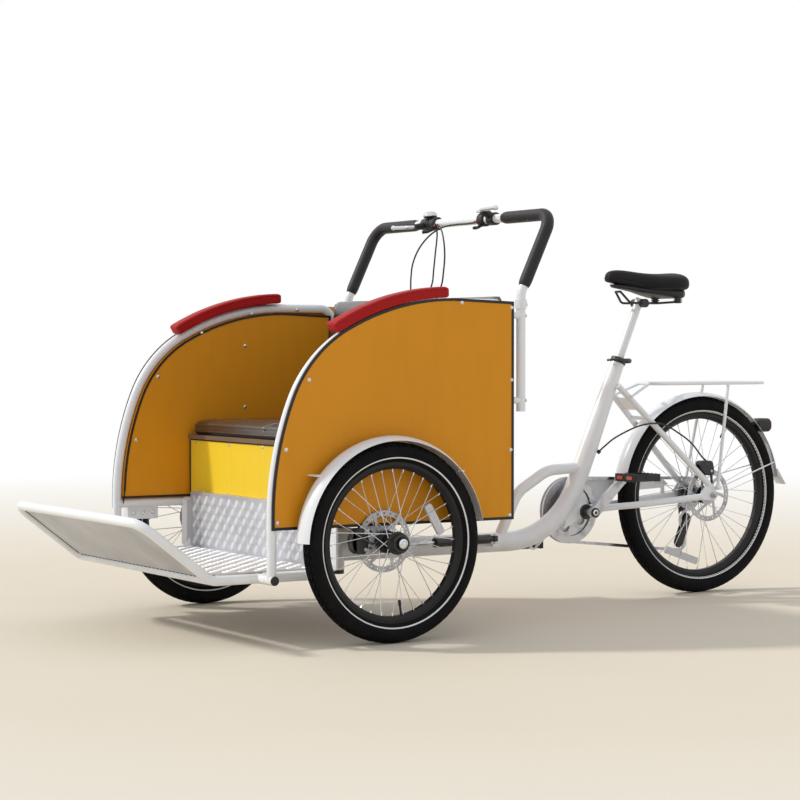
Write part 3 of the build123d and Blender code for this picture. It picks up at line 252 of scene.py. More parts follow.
def satin_panel(name, colour):
    """Painted sheet with a satin face, faint streaks and rubbed patches."""
    sheet = Finish(name)
    cloud = sheet.noise(3.2, 4.0)
    streaks = sheet.noise(9.0, 5.0, sheet.stretched((4.0, 4.0, 0.6)))
    base = sheet.mix(cloud, shade(colour, 0.90), shade(colour, 1.04))
    return sheet.surface(
        Base_Color=sheet.mix(streaks.between(0.45, 0.8) * 0.35, base, shade(colour, 0.84)),
        Roughness=0.42 + streaks * 0.16,
        Normal=sheet.bump(sheet.noise(700.0, 2.0), 0.0003, 0.15),
        Specular_IOR_Level=0.28,
    )


def bright_sheet(name, colour):
    """Rolled aluminium with long scratches, and darker patches that are partly wear and partly a painted
    dark reflection.
    """
    sheet = Finish(name)
    rolled = sheet.noise(30.0, 6.0, sheet.stretched((1.0, 14.0, 14.0)))
    wear_and_painted_reflection = sheet.noise(7.0, 5.0)
    brushed = sheet.mix(rolled, shade(colour, 0.84), shade(colour, 1.05))
    return sheet.surface(
        # Darker patches: partly wear, partly painted reflection of dark surroundings that the white sky
        # cannot give.
        Base_Color=sheet.mix(wear_and_painted_reflection.between(0.35, 0.7), shade(colour, 0.7), brushed),
        Metallic=0.55,
        Roughness=0.3 + wear_and_painted_reflection * 0.25,
        Normal=sheet.bump(rolled, 0.0004, 0.3),
    )


def bright_metal(name, colour, roughness=0.22, metal=1.0):
    """Turned or drawn steel with a fine grain and a little grime."""
    steel = Finish(name)
    grain = steel.noise(260.0, 4.0)
    grime = steel.noise(35.0, 5.0).between(0.52, 0.75)
    return steel.surface(
        Base_Color=steel.mix(grime * 0.45, colour, shade(colour, 0.35)),
        Metallic=metal,
        Roughness=roughness + grain * 0.14 + grime * 0.22,
        Normal=steel.bump(grain, 0.0002, 0.2),
    )


def black_coat(name, colour, roughness=0.34):
    """Satin black coat, greyer where it has been rubbed."""
    coat = Finish(name)
    rubbed = coat.noise(60.0, 6.0).between(0.58, 0.74)
    return coat.surface(
        Base_Color=coat.mix(rubbed * 0.5, colour, srgb(74, 74, 76)),
        Roughness=roughness + coat.noise(90.0) * 0.2,
        Normal=coat.bump(coat.noise(900.0, 2.0), 0.0002, 0.2),
        Coat_Weight=0.15,
    )


def laced_wheel(name, hub, hub_r, rim_r, black, bright):
    """Black rim and hub with bright spokes, told apart by the distance from the axle."""
    wheel = Finish(name)
    _, _, reach = wheel.offsets(hub)
    spokes = (reach > hub_r) * (reach < rim_r)
    rubbed = wheel.noise(80.0, 5.0)
    coat = wheel.mix(rubbed, shade(black, 0.6), shade(black, 1.3))
    return wheel.surface(
        Base_Color=wheel.mix(spokes, coat, bright),
        Metallic=spokes * 0.95,
        Roughness=0.4 - spokes * 0.2 + rubbed * 0.12,
        Specular_IOR_Level=0.3,
        Normal=wheel.bump(wheel.noise(500.0, 2.0), 0.0002, 0.2),
    )


def tyre_rubber(name, colour):
    """Matt rubber, dusty in patches."""
    rubber = Finish(name)
    dusty = rubber.noise(18.0, 6.0).between(0.42, 0.85)
    grain = rubber.noise(650.0, 3.0)
    return rubber.surface(
        Base_Color=rubber.mix(dusty * 0.14, colour, srgb(62, 58, 52)),
        Roughness=0.66 + grain * 0.2,
        Normal=rubber.bump(grain, 0.0004, 0.35),
        Specular_IOR_Level=0.15,
    )


def reflective_band(name, pale):
    """Reflective stripe of glass beads."""
    band = Finish(name)
    beads = band.cells(1500.0)
    return band.surface(
        Base_Color=band.mix(beads, pale, shade(pale, 0.85)),
        Roughness=0.3 + beads * 0.2,
        Normal=band.bump(beads, 0.0002, 0.3),
    )


def dashed_band(name, pale, grey, hub, dashes, inner_r, width):
    """Reflective stripe with slanted grey dashes along its middle."""
    band = Finish(name)
    beads = band.cells(1500.0)
    ahead, up, reach = band.offsets(hub)
    turn = band.maths("ARCTAN2", up, ahead)
    slant = (reach - inner_r) * 120.0
    part = band.maths("FRACT", turn * (dashes / (2 * pi)) + slant)
    inside = (reach > inner_r) * (reach < inner_r + width)
    plain = band.mix(beads, pale, shade(pale, 0.85))
    return band.surface(
        Base_Color=band.mix((part > 0.6) * inside * 0.8, plain, grey),
        Roughness=0.3 + beads * 0.2,
        Normal=band.bump(beads, 0.0002, 0.3),
    )


def vinyl(name, colour, pale, gloss, coat, shine):
    """Grained vinyl with soft creases, paler where it is rubbed; shine is its reflection level."""
    cover = Finish(name)
    grain = cover.cells(620.0)
    creases = cover.noise(16.0, 5.0, cover.stretched((1.0, 0.7, 1.4)))
    rubbed = cover.noise(6.0, 5.0).between(0.45, 0.75)
    soft = cover.bump(creases, 0.006, 0.25)
    return cover.surface(
        Base_Color=cover.mix(rubbed * 0.3, colour, pale),
        Roughness=gloss + grain * 0.12 + rubbed * 0.1,
        Normal=cover.bump(grain, 0.0005, 0.25, soft),
        Specular_IOR_Level=shine,
        Coat_Weight=coat,
        Coat_Roughness=0.3,
        Coat_IOR=1.7,
    )


def foam_rubber(name, colour):
    """Closed-cell foam with open pores and a dull bloom."""
    foam = Finish(name)
    pores = foam.cells(950.0)
    bloom = foam.noise(24.0, 4.0)
    return foam.surface(
        Base_Color=foam.mix(bloom, colour, shade(colour, 1.5)),
        Roughness=0.42 + pores * 0.2,
        Normal=foam.bump(pores, 0.0005, 0.35),
        Specular_IOR_Level=0.4,
        Sheen_Weight=0.12,
        Sheen_Roughness=0.3,
    )


def moulded(name, colour, roughness=0.42):
    """Moulded plastic with a fine spark-eroded face."""
    plastic = Finish(name)
    spark = plastic.noise(1200.0, 2.0)
    cloud = plastic.noise(12.0, 4.0)
    return plastic.surface(
        Base_Color=plastic.mix(cloud, shade(colour, 0.85), shade(colour, 1.1)),
        Roughness=roughness + spark * 0.15,
        Normal=plastic.bump(spark, 0.0002, 0.25),
    )


def lens(name, colour, gloss=0.12):
    """Moulded reflector with small prisms behind a glossy face."""
    glass = Finish(name)
    prisms = glass.cells(330.0)
    return glass.surface(
        Base_Color=glass.mix(prisms, colour, shade(colour, 0.6)),
        Roughness=gloss + prisms * 0.15,
        Normal=glass.bump(prisms, 0.0006, 0.5),
        Coat_Weight=0.8,
        Coat_Roughness=0.05,
    )


def plywood(name, colour):
    """Stained board with long grain."""
    board = Finish(name)
    grain = board.noise(26.0, 8.0, board.stretched((2.0, 0.25, 2.0)))
    return board.surface(
        Base_Color=board.mix(grain, shade(colour, 0.6), shade(colour, 1.3)),
        Roughness=0.55 + grain * 0.2,
        Normal=board.bump(grain, 0.001, 0.3),
    )


# Shapes


class Shape:
    """Points and faces of one piece, gathered before it becomes a mesh."""

    def __init__(self):
        self.points = []
        self.faces = []
        self.layers = []
        self.layer = 0

    def add(self, points, faces):
        base = len(self.points)
        self.points.extend(points)
        for face in faces:
            self.faces.append([base + k for k in face])
            self.layers.append(self.layer)

    def skin(self, rings, closed=False, caps=True):
        """Skin over rings that all hold the same number of points."""
        size = len(rings[0])
        count = len(rings)
        faces = []
        for i in range(count if closed else count - 1):
            j = (i + 1) % count
            for k in range(size):
                m = (k + 1) % size
                faces.append([i * size + k, i * size + m, j * size + m, j * size + k])
        if caps and not closed:
            faces.append(list(range(size))[::-1])
            faces.append([(count - 1) * size + k for k in range(size)])
        self.add([point for ring in rings for point in ring], faces)

    def lathe(self, profile, centre, axis, sides=28):
        """Turned piece from (radius, height) pairs in millimetres along an axis."""
        axis = Vector(axis).normalized()
        first = axis.orthogonal().normalized()
        second = axis.cross(first)
        turns = [2 * pi * k / sides for k in range(sides)]
        rings = []
        for radius, height in profile:
            arm = radius / 1000
            middle_at = centre + axis * (height / 1000)
            rings.append([middle_at + (first * cos(t) + second * sin(t)) * arm for t in turns])
        self.skin(rings)

    def tube(self, path, radius, sides=12, closed=False, width=1.0):
        """Round or flattened bar along a path; radius is one number or one for each point."""
        count = len(path)
        radii = radius if isinstance(radius, list) else [radius] * count
        ways = []
        for k in range(count):
            before = path[k - 1] if (k or closed) else path[k]
            after = path[(k + 1) % count] if (k < count - 1 or closed) else path[k]
            ways.append((after - before).normalized())
        up = ways[0].orthogonal().normalized()
        if abs(ways[0].z) < 0.9:
            up = (Vector((0, 0, 1)) - ways[0] * ways[0].z).normalized()
        rings = []
        for k in range(count):
            up = (up - ways[k] * up.dot(ways[k])).normalized()
            across = ways[k].cross(up)
            ring = []
            for s in range(sides):
                t = 2 * pi * s / sides
                ring.append(path[k] + (up * cos(t) + across * sin(t) * width) * radii[k])
            rings.append(ring)
        self.skin(rings, closed=closed)

    def plate(self, outline, way, thick, bevel):
        """Plate with bevelled edges from a flat outline, all in metres."""
        way = Vector(way).normalized()
        centre = sum(outline, Vector()) / len(outline)
        reach = sum((point - centre).length for point in outline) / len(outline)
        inner = [centre + (point - centre) * (1 - bevel / reach) for point in outline]
        rings = [
            inner,
            [point + way * bevel for point in outline],
            [point + way * (thick - bevel) for point in outline],
            [point + way * thick for point in inner],
        ]
        self.skin(rings)


def rounded(centre, across, up, width, height, corner, steps=4):
    """Outline of a rounded rectangle on two axes, in metres."""
    across, up = Vector(across).normalized(), Vector(up).normalized()
    points = []
    for k, (a, b) in enumerate(((1, 1), (-1, 1), (-1, -1), (1, -1))):
        for s in range(steps + 1):
            t = pi / 2 * (k + s / steps)
            x = a * (width / 2 - corner) + corner * cos(t)
            y = b * (height / 2 - corner) + corner * sin(t)
            points.append(centre + across * x + up * y)
    return points


def bent(points, radius, steps=8):
    """Route through points with its corners rounded, for bars and tubes."""
    route = [points[0]]
    for before, corner, after in zip(points, points[1:], points[2:]):
        first, second = (corner - before).normalized(), (after - corner).normalized()
        turn = acos(max(-1.0, min(1.0, first.dot(second))))
        if turn < 0.01:
            route.append(corner)
            continue
        back = radius * tan(turn / 2)
        inward = (second - first).normalized()
        centre = corner + inward * (radius / cos(turn / 2))
        for k in range(steps + 1):
            t = turn * (k / steps - 0.5)
            start = (corner - first * back - centre).normalized()
            end = (corner + second * back - centre).normalized()
            share = k / steps
            arm = (start * sin((1 - share) * turn) + end * sin(share * turn)) / sin(turn)
            route.append(centre + arm * radius)
    route.append(points[-1])
    return route


def squared(value, power):
    """A sine or cosine pushed towards 1 and -1, for outlines between an ellipse and a rectangle."""
    return copysign(abs(value) ** power, value)


def divided(points, step):
    """The same route with its stretches cut into parts no longer than step."""
    route = [points[0]]
    for before, after in zip(points, points[1:]):
        parts = max(1, ceil((after - before).length / step))
        route.extend(before.lerp(after, k / parts) for k in range(1, parts + 1))
    return route


def smooth(points, steps=8):
    """Even curve that passes through every point."""
    ends = [points[0] * 2 - points[1], *points, points[-1] * 2 - points[-2]]
    route = []
    for a, b, c, d in zip(ends, ends[1:], ends[2:], ends[3:]):
        for k in range(steps):
            t = k / steps
            straight = b * 2 + (c - a) * t
            curved = (a * 2 - b * 5 + c * 4 - d) * t ** 2 + (b * 3 - a - c * 3 + d) * t ** 3
            route.append((straight + curved) / 2)
    route.append(points[-1])
    return route


FINISHES = {}


def finished(shape, name, finishes, body, sharp=32, stands_for=()):
    """Makes the mesh of a piece, with its finishes, and seats it on its body."""
    keys = [finishes] if isinstance(finishes, str) else finishes
    mesh = bpy.data.meshes.new(name)
    mesh.from_pydata([tuple(point) for point in shape.points], [], shape.faces)
    for key in keys:
        mesh.materials.append(FINISHES[key])
    mesh.polygons.foreach_set("material_index", shape.layers)
    cleaned = bmesh.new()
    cleaned.from_mesh(mesh)
    bmesh.ops.recalc_face_normals(cleaned, faces=cleaned.faces)
    cleaned.to_mesh(mesh)
    cleaned.free()
    mesh.shade_smooth()
    mesh.set_sharp_from_angle(angle=radians(sharp))
    piece = bpy.data.objects.new(name, mesh)
    bpy.context.scene.collection.objects.link(piece)
    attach(piece, body)
    if stands_for:
        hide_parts(*stands_for)
    return piece


def settle(piece):
    """Bakes a piece's modifiers into its mesh and keeps its finishes."""
    finishes = list(piece.data.materials)
    graph = bpy.context.evaluated_depsgraph_get()
    mesh = bpy.data.meshes.new_from_object(piece.evaluated_get(graph))
    piece.modifiers.clear()
    piece.data = mesh
    mesh.materials.clear()
    for finish in finishes:
        mesh.materials.append(finish)
    mesh.shade_smooth()


def smoothed(piece, levels):
    """Rounds a piece by dividing its faces."""
    rounder = piece.modifiers.new("rounder", "SUBSURF")
    rounder.levels = levels
    rounder.render_levels = levels
    settle(piece)


STUFFING_FRAMES = 20


def stuff(piece, voxel, pressure, limit):
    """Swells a pad as cloth over its padding, and caps how far a point may move."""
    even = piece.modifiers.new("even", "REMESH")
    even.mode = "VOXEL"
    even.voxel_size = voxel
    settle(piece)
    rest = [point.co.copy() for point in piece.data.vertices]
    cloth = piece.modifiers.new("cover", "CLOTH")
    cloth.settings.quality = 4
    cloth.settings.use_pressure = True
    cloth.settings.uniform_pressure_force = pressure
    cloth.settings.effector_weights.gravity = 0
    cloth.point_cache.frame_start = 1
    cloth.point_cache.frame_end = STUFFING_FRAMES
    for step in range(1, STUFFING_FRAMES + 1):
        bpy.context.scene.frame_set(step)
    settle(piece)
    bpy.context.scene.frame_set(1)
    for point, home in zip(piece.data.vertices, rest):
        moved = point.co - home
        if moved.length > limit:
            point.co = home + moved.normalized() * limit
    smoothed(piece, 1)


def hug(piece, points, lift):
    """Moves points onto the nearest place of a piece's face, and a little off it."""
    tree = BVHTree.FromObject(piece, bpy.context.evaluated_depsgraph_get())
    seated = []
    for point in points:
        spot, normal, _, _ = tree.find_nearest(point)
        seated.append(spot + normal * lift)
    return seated


def press(piece, depth_at):
    """Pushes each point inward by the depth that a function gives for its place."""
    moves = [point.normal * -depth_at(point.co) for point in piece.data.vertices]
    for point, move in zip(piece.data.vertices, moves):
        point.co += move


def groove(distance, width, depth):
    """Depth of a sewn channel at this distance from its middle."""
    return depth * exp(-((distance / width) ** 2))


# Cabin side as drawn from the side: three arcs, a top line and a bottom line
CABIN_FRONT, CABIN_REAR, PANEL_FOOT, RISE_Z, PANEL_REAR_TOP = 321, -408, 298, 330, 875
LOW_R, LOW_TURN = 790, 22
SHOULDER_R, SHOULDER_TURN = 344, 40
CROWN_R = 695
CROWN_START = LOW_TURN + SHOULDER_TURN
SKIN_EDGE, PANEL_FACE, INNER_FACE = 473.8, 476.8, 445.2


def on_arc(centre, radius, angle):
    return (centre[0] + radius * cos(radians(angle)), centre[1] + radius * sin(radians(angle)))


LOW_CENTRE = (CABIN_FRONT - LOW_R, RISE_Z)
SHOULDER_CENTRE = on_arc(LOW_CENTRE, LOW_R - SHOULDER_R, LOW_TURN)
CROWN_CENTRE = on_arc(SHOULDER_CENTRE, SHOULDER_R - CROWN_R, CROWN_START)


def cabin_edge(inset=0, drop=0, foot=PANEL_FOOT, rear=CABIN_REAR):
    """Points (ahead, z) round a cabin side, its curved edge moved in and down."""
    points = [(CABIN_FRONT - inset, foot), (CABIN_FRONT - inset, RISE_Z - drop)]
    arcs = (
        (LOW_CENTRE, LOW_R, 0, LOW_TURN, 10),
        (SHOULDER_CENTRE, SHOULDER_R, LOW_TURN, CROWN_START, 14),
        (CROWN_CENTRE, CROWN_R, CROWN_START, 90, 12),
    )
    for centre, radius, start, end, steps in arcs:
        for k in range(1, steps + 1):
            angle = start + (end - start) * k / steps
            x, z = on_arc(centre, radius - inset, angle)
            points.append((x, z - drop))
    points.append((rear, PANEL_REAR_TOP - inset - drop))
    points.append((rear, foot))
    return points


def edge_sweep(shape, outline, section, side):
    """Carries a section of (outward, y) pairs round a closed outline with mitred corners."""
    count = len(outline)
    rings = []
    for k, (x, z) in enumerate(outline):
        before, after = outline[k - 1], outline[(k + 1) % count]
        first = Vector((x - before[0], z - before[1])).normalized()
        second = Vector((after[0] - x, after[1] - z)).normalized()
        out_a, out_b = Vector((first.y, -first.x)), Vector((second.y, -second.x))
        out = (out_a + out_b).normalized()
        reach = 1 / max(0.4, out.dot(out_a))
        rings.append([place(x + out.x * n * reach, side * y, z + out.y * n * reach) for n, y in section])
    shape.skin(rings, closed=True)


# Settings that a user would change


class RickshawColours(bpy.types.PropertyGroup):
    """Colours of the rickshaw's finishes."""

    frame: FloatVectorProperty(
        name="Frame", description="Enamel of tubes and mudguards", subtype="COLOR",
        default=srgb(240, 243, 248), min=0, max=1,
    )
    panel: FloatVectorProperty(
        name="Panels", description="Sheet of the cabin's sides and back", subtype="COLOR",
        default=srgb(224, 149, 24), min=0, max=1,
    )
    # Brighter copy of the panels' ochre: partly the riser's own yellow, partly painted sunlight on it.
    riser_painted_sunlit: FloatVectorProperty(
        name="Seat riser", description="Sheet under the seat's front", subtype="COLOR",
        default=srgb(255, 214, 50), min=0, max=1,
    )
    armrest: FloatVectorProperty(
        name="Armrests", description="Vinyl of the armrests", subtype="COLOR",
        default=srgb(166, 10, 13), min=0, max=1,
    )
    padding: FloatVectorProperty(
        name="Seat", description="Vinyl of cushion, backrest and saddle", subtype="COLOR",
        default=srgb(19, 16, 20), min=0, max=1,
    )
    floor: FloatVectorProperty(
        name="Floor", description="Floor of the stage", subtype="COLOR",
        default=srgb(228, 218, 200), min=0, max=1,
    )


class RickshawSizes(bpy.types.PropertyGroup):
    """Sizes of the rickshaw's dressed pieces."""

    tread_depth: FloatProperty(
        name="Tread depth", description="Depth of the tyres' grooves", unit="LENGTH",
        default=0.0026, min=0.0005, max=0.004,
    )
    trim_width: FloatProperty(
        name="Trim width", description="Width of the black trim on the cabin's edges",
        unit="LENGTH", default=0.0062, min=0.003, max=0.012,
    )
    bar_length: FloatProperty(
        name="Tread bar", description="Length of a raised bar on the tread plate",
        unit="LENGTH", default=0.0175, min=0.01, max=0.03,
    )
    swell: FloatProperty(
        name="Swell", description="Most that stuffing pushes a cushion's cover out",
        unit="LENGTH", default=0.008, min=0.0, max=0.02,
    )


DASH_WIDTH = 0.0046


def make_finishes(colours):
    """One finish for each material slot of the record, and those of the dressed pieces."""
    black = srgb(24, 24, 26)
    bright = srgb(214, 216, 220)
    padding = tuple(colours.padding)
    FINISHES.update(
        white_frame=enamel("white_enamel", tuple(colours.frame)),
        yellow_panel=satin_panel("ochre_sheet", tuple(colours.panel)),
        # The riser's sheet is the panel sheet made brighter: partly its own yellow, partly painted
        # sunlight.
        yellow_riser=satin_panel("yellow_sheet_painted_sunlit", tuple(colours.riser_painted_sunlit)),
        aluminium_sheet=bright_sheet("tread_plate_metal", srgb(212, 214, 220)),
        black_metal=black_coat("black_coat", black),
        steel=bright_metal("brushed_steel", srgb(190, 190, 194)),
        tyre=tyre_rubber("tyre_rubber", srgb(9, 9, 12)),
        black_vinyl=vinyl("black_vinyl", padding, srgb(46, 42, 44), 0.46, 0.0, 0.25),
        seat_vinyl=vinyl("seat_vinyl", padding, srgb(58, 54, 56), 0.3, 0.95, 0.5),
        red_vinyl=vinyl("red_vinyl", tuple(colours.armrest), srgb(186, 30, 32), 0.42, 0.0, 0.22),
        foam=foam_rubber("grip_foam", srgb(20, 17, 24)),
        black_plastic=moulded("black_plastic", srgb(20, 20, 22)),
        deck=plywood("seat_board", srgb(118, 94, 74)),
        bar_metal=bright_metal("tread_bar", srgb(240, 241, 244), 0.28, 0.7),
        front_rotor_left=bright_metal("rotor_steel", srgb(176, 176, 180), 0.28),
        seat_post=enamel("seat_post_enamel", srgb(238, 241, 246), 0.16, 0.0),
        white_plastic=moulded("white_plastic", srgb(236, 238, 242), 0.3),
        cable=moulded("cable_cover", srgb(18, 18, 20), 0.36),
        trim=moulded("edge_trim", srgb(22, 18, 18), 0.46),
        chrome=bright_metal("polished_metal", bright, 0.1),
        clear_lens=lens("clear_reflector", srgb(226, 226, 232)),
        red_lens=lens("red_lens", srgb(168, 12, 16)),
        amber_lens=lens("amber_lens", srgb(196, 52, 8)),
        front_wheel_left=laced_wheel("front_wheel_left", FRONT_HUB, 0.0305, 0.1862, black, bright),
        rear_wheel=laced_wheel("rear_wheel", REAR_HUB, 0.0275, 0.2312, black, bright),
        front_band=reflective_band("front_band", srgb(240, 241, 245)),
        rear_band=dashed_band(
            "rear_band", srgb(250, 250, 252), srgb(104, 104, 110), REAR_HUB, 150,
            REAR_WHEEL.stripe_r / 1000 - DASH_WIDTH / 2, DASH_WIDTH,
        ),
    )
    FINISHES["front_rotor_right"] = FINISHES["front_rotor_left"]
    FINISHES["rear_rotor"] = FINISHES["front_rotor_left"]
    FINISHES["front_wheel_right"] = FINISHES["front_wheel_left"]


class RICKSHAW_OT_frame(bpy.types.Operator):
    """Give every carried-over part of the frame its finish"""

    bl_idname = "rickshaw.frame"
    bl_label = "Frame finishes"

    def execute(self, context):
        make_finishes(context.scene.rickshaw_colours)
        for part in frame["record"]["subparts"]:
            node = frame["nodes"][part["node"]]
            finish = FINISHES.get(part["node"]) or FINISHES.get(part["material_slot"])
            if finish is None:
                raise RuntimeError(f"no finish for {part['node']}")
            if not node.material_slots:
                node.data.materials.append(finish)
            for slot in node.material_slots:
                slot.material = finish
        return {"FINISHED"}


# Tyres

Wheel = namedtuple(
    "Wheel", "hub tyre_r pitches stripe_r half_stripe stripe nipple_r valve_r valve_turn reflector"
)
FRONT_WHEEL = Wheel(
    FRONT_HUB, 257, 74, 217, 1.5, "front_band", 188.5, 189, 262, ((-104, 92), (-149, 16), 23),
)
REAR_WHEEL = Wheel(
    REAR_HUB, 302, 88, 254.5, 4.8, "rear_band", 233.5, 234, 118, ((127, -164), (1, -208), 22),
)
WHEELS = (
    # wheel, name, piece and CAD node of its tyre, body, y
    (
        FRONT_WHEEL, "left", "tyre_front_left", "front_tyre_left", "front_wheel_assembly_left",
        FRONT_HUB.y,
    ),
    (
        FRONT_WHEEL, "right", "tyre_front_right", "front_tyre_right", "front_wheel_assembly_right",
        -FRONT_HUB.y,
    ),
    (REAR_WHEEL, "rear", "tyre_rear", "rear_tyre", "rear_wheel_assembly", 0),
)
TUBE_R = 27
TREAD_END, WALL_START = 52.5, 60
RIB_HEIGHT = 0.35
# Share of a pitch, and whether a cross groove is there
TREAD_COLUMNS = ((0.0, 0), (0.06, 1), (0.27, 1), (0.33, 0), (0.55, 0), (0.78, 0))
# Degrees from the crown, close together beside the grooves
TREAD_ANGLES = (
    0, 3, 6, 9, 10.5, 13, 14.5, 18, 24, 30, 31.5, 34.5, 36, 42, 48, 52, 53.5, 58, 66, 76, 88, 98,
    108, 116,
)
# Half width, and how far inside the tyre's radius, down to the rim
BEAD = ((24.3, 39.5), (20.0, 45.5), (16.4, 49.0), (15.2, 51.2))


def tread_depth_at(angle, cross_groove, depth):
    """How deep the rubber lies at an angle from the crown: blocks, grooves, then ribs on the wall."""
    spread = abs(angle)
    if spread > WALL_START:
        return RIB_HEIGHT * (round(spread) % 4 == 0)
    if 10.4 < spread < 13.1 or 31.4 < spread < 34.6:
        return depth
    return depth if cross_groove and spread < TREAD_END else 0


def tread_lean(angle):
    """Share of a pitch by which the cross grooves lean at an angle from the crown."""
    spread = abs(angle)
    if spread < 10.5:
        return 0.018 * angle
    if spread < 31.5:
        return copysign(0.5 + (spread - 10.5) * 0.03, angle)
    if spread < 56:
        return copysign(0.1 + (spread - 31.5) * 0.02, angle) + 0.25
    return 0


def tyre_ring(wheel, side_y, depth, pitch, column):
    """One cross section of a tyre, from bead to bead over the tread."""
    share, cross_groove = column
    bead = [(half, wheel.tyre_r - inside) for half, inside in BEAD]
    step = 2 * pi / wheel.pitches
    ring = []
    for half, r in reversed(bead):
        ring.append(around(wheel.hub, r, step * (pitch + share), side_y - half / 1000))
    for angle in [-a for a in reversed(TREAD_ANGLES[1:])] + list(TREAD_ANGLES):
        sunk = tread_depth_at(angle, cross_groove, depth * 1000)
        wide = (TUBE_R - sunk) * sin(radians(angle))
        r = wheel.tyre_r - TUBE_R + (TUBE_R - sunk) * cos(radians(angle))
        turn = step * (pitch + share + tread_lean(angle))
        ring.append(around(wheel.hub, r, turn, side_y + wide / 1000))
    for half, r in bead:
        ring.append(around(wheel.hub, r, step * (pitch + share), side_y + half / 1000))
    return ring


def make_stripe(wheel, name, side_y, body):
    """Reflective stripe on both walls of a tyre, a little proud of the rubber."""
    shape = Shape()
    half = wheel.half_stripe
    section = ((-half - 0.3, 0.05), (-half, 0.5), (0, 0.5), (half, 0.5), (half + 0.3, 0.05))
    parts = 144
    for side in (1, -1):
        profile = []
        for offset, lift in section:
            level = wheel.stripe_r + offset
            wall = TUBE_R * sin(acos((level - wheel.tyre_r + TUBE_R) / TUBE_R))
            profile.append((side_y + side * (wall + lift) / 1000, level))
        turns = [2 * pi * k / parts for k in range(parts)]
        rings = [[around(wheel.hub, level, turn, y) for y, level in profile] for turn in turns]
        shape.skin(rings, closed=True)
    finished(shape, name, wheel.stripe, body)


class RICKSHAW_OT_tyres(bpy.types.Operator):
    """Make the three tyres with their tread and reflective stripes"""

    bl_idname = "rickshaw.tyres"
    bl_label = "Tyres"

    def execute(self, context):
        depth = context.scene.rickshaw_sizes.tread_depth
        for wheel, name, piece, node, body, side_y in WHEELS:
            tyre = Shape()
            rings = [
                tyre_ring(wheel, side_y, depth, pitch, column)
                for pitch in range(wheel.pitches) for column in TREAD_COLUMNS
            ]
            tyre.skin(rings, closed=True)
            finished(tyre, piece, "tyre", body, 28, [node])
            make_stripe(wheel, f"tyre_stripe_{name}", side_y, body)
        return {"FINISHED"}


# Wheel fittings

SPOKES = 36


def make_reflector(wheel, name, side_y, body):
    """Spoke reflector, a clear bar with bevelled edges between two points about the hub."""
    start, end, width = wheel.reflector
    thick = 0.009
    first, second = (
        Vector((wheel.hub.x + x / 1000, side_y - thick / 2, wheel.hub.z + z / 1000))
        for x, z in (start, end)
    )
    along = second - first
    shape = Shape()
    outline = rounded(
        (first + second) / 2, along, along.cross(LEFT), along.length, width / 1000, 0.006
    )
    shape.plate(outline, LEFT, thick, 0.0018)
    finished(shape, f"spoke_reflector_{name}", "clear_lens", body)


def make_nipples(wheel, name, side_y, body):
    """Spoke nipples round the rim's inner face."""
    shape = Shape()
    profile = ((2.6, 0), (2.4, 3), (1.8, 9), (1.3, 9.6))
    for index in range(SPOKES):
        turn = 2 * pi * index / SPOKES
        inward = Vector((-cos(turn), 0, -sin(turn)))
        shape.lathe(profile, around(wheel.hub, wheel.nipple_r, turn, side_y), inward, 8)
    finished(shape, f"spoke_nipples_{name}", "chrome", body)


def make_valve(wheel, name, side_y, body):
    """Tyre valve: a stem with its cap, pointing to the hub."""
    shape = Shape()
    turn = radians(wheel.valve_turn)
    inward = Vector((-cos(turn), 0, -sin(turn)))
    profile = ((4.2, -1), (4.2, 2), (2.9, 3), (2.9, 24), (4, 25), (4, 37), (3.2, 39))
    shape.lathe(profile, around(wheel.hub, wheel.valve_r, turn, side_y), inward, 14)
    finished(shape, f"valve_{name}", "black_plastic", body)


def make_front_hub(side, hand, body):
    """Cap on a front hub's outer face, and the axle's bolt that stands still in it."""
    outward = LEFT * side
    face = Vector((FRONT_HUB.x, side * FRONT_HUB.y, FRONT_HUB.z))
    cap = Shape()
    ring = ((29.5, 24), (29.5, 27.6), (27, 30), (25.5, 42), (23.5, 45.8), (17.5, 46.3), (16, 45))
    cap.lathe(ring, face, outward, 40)
    finished(cap, f"hub_cap_{hand}", "black_metal", body)
    bolt = Shape()
    head = (
        (12.6, 53.8), (12.6, 54.8), (11, 56), (8.4, 56.4), (7.8, 55), (5.2, 54.9), (4.8, 56.8), (2, 57),
    )
    bolt.lathe(head, face, outward, 32)
    finished(bolt, f"axle_bolt_{hand}", "chrome", "carriage")


class RICKSHAW_OT_wheels(bpy.types.Operator):
    """Add reflectors, valves, nipples and hub caps to the wheels"""

    bl_idname = "rickshaw.wheels"
    bl_label = "Wheel fittings"

    def execute(self, context):
        for wheel, name, _, _, body, side_y in WHEELS:
            make_reflector(wheel, name, side_y, body)
            make_nipples(wheel, name, side_y, body)
            make_valve(wheel, name, side_y, body)
            if wheel is FRONT_WHEEL:
                make_front_hub(copysign(1, side_y), name, body)
        return {"FINISHED"}


# Cabin trim and screws

OUTER_SCREWS = (
    (216, 672), (282, 498), (306, 315), (-244, 872), (-403, 860), (-403, 668), (-400, 482), (-397, 308),
)
INNER_SCREWS = ((-264, 866), (-112, 853), (52, 796), (-89, 759), (-89, 580), (193, 670), (262, 490))
SCREW_R = 4.6
RISER_FACE = 91.2


def add_screw(shape, at, way, radius=SCREW_R):
    """Domed cross-head screw on its washer."""
    size = radius / SCREW_R
    profile = (
        (5.4, 0), (5.4, 0.5), (4.6, 0.7), (4.2, 1.7), (3.0, 2.5), (1.4, 2.7), (1.1, 1.9), (0.3, 1.8),
    )
    shape.lathe([(r * size, h * size) for r, h in profile], at, way, 16)


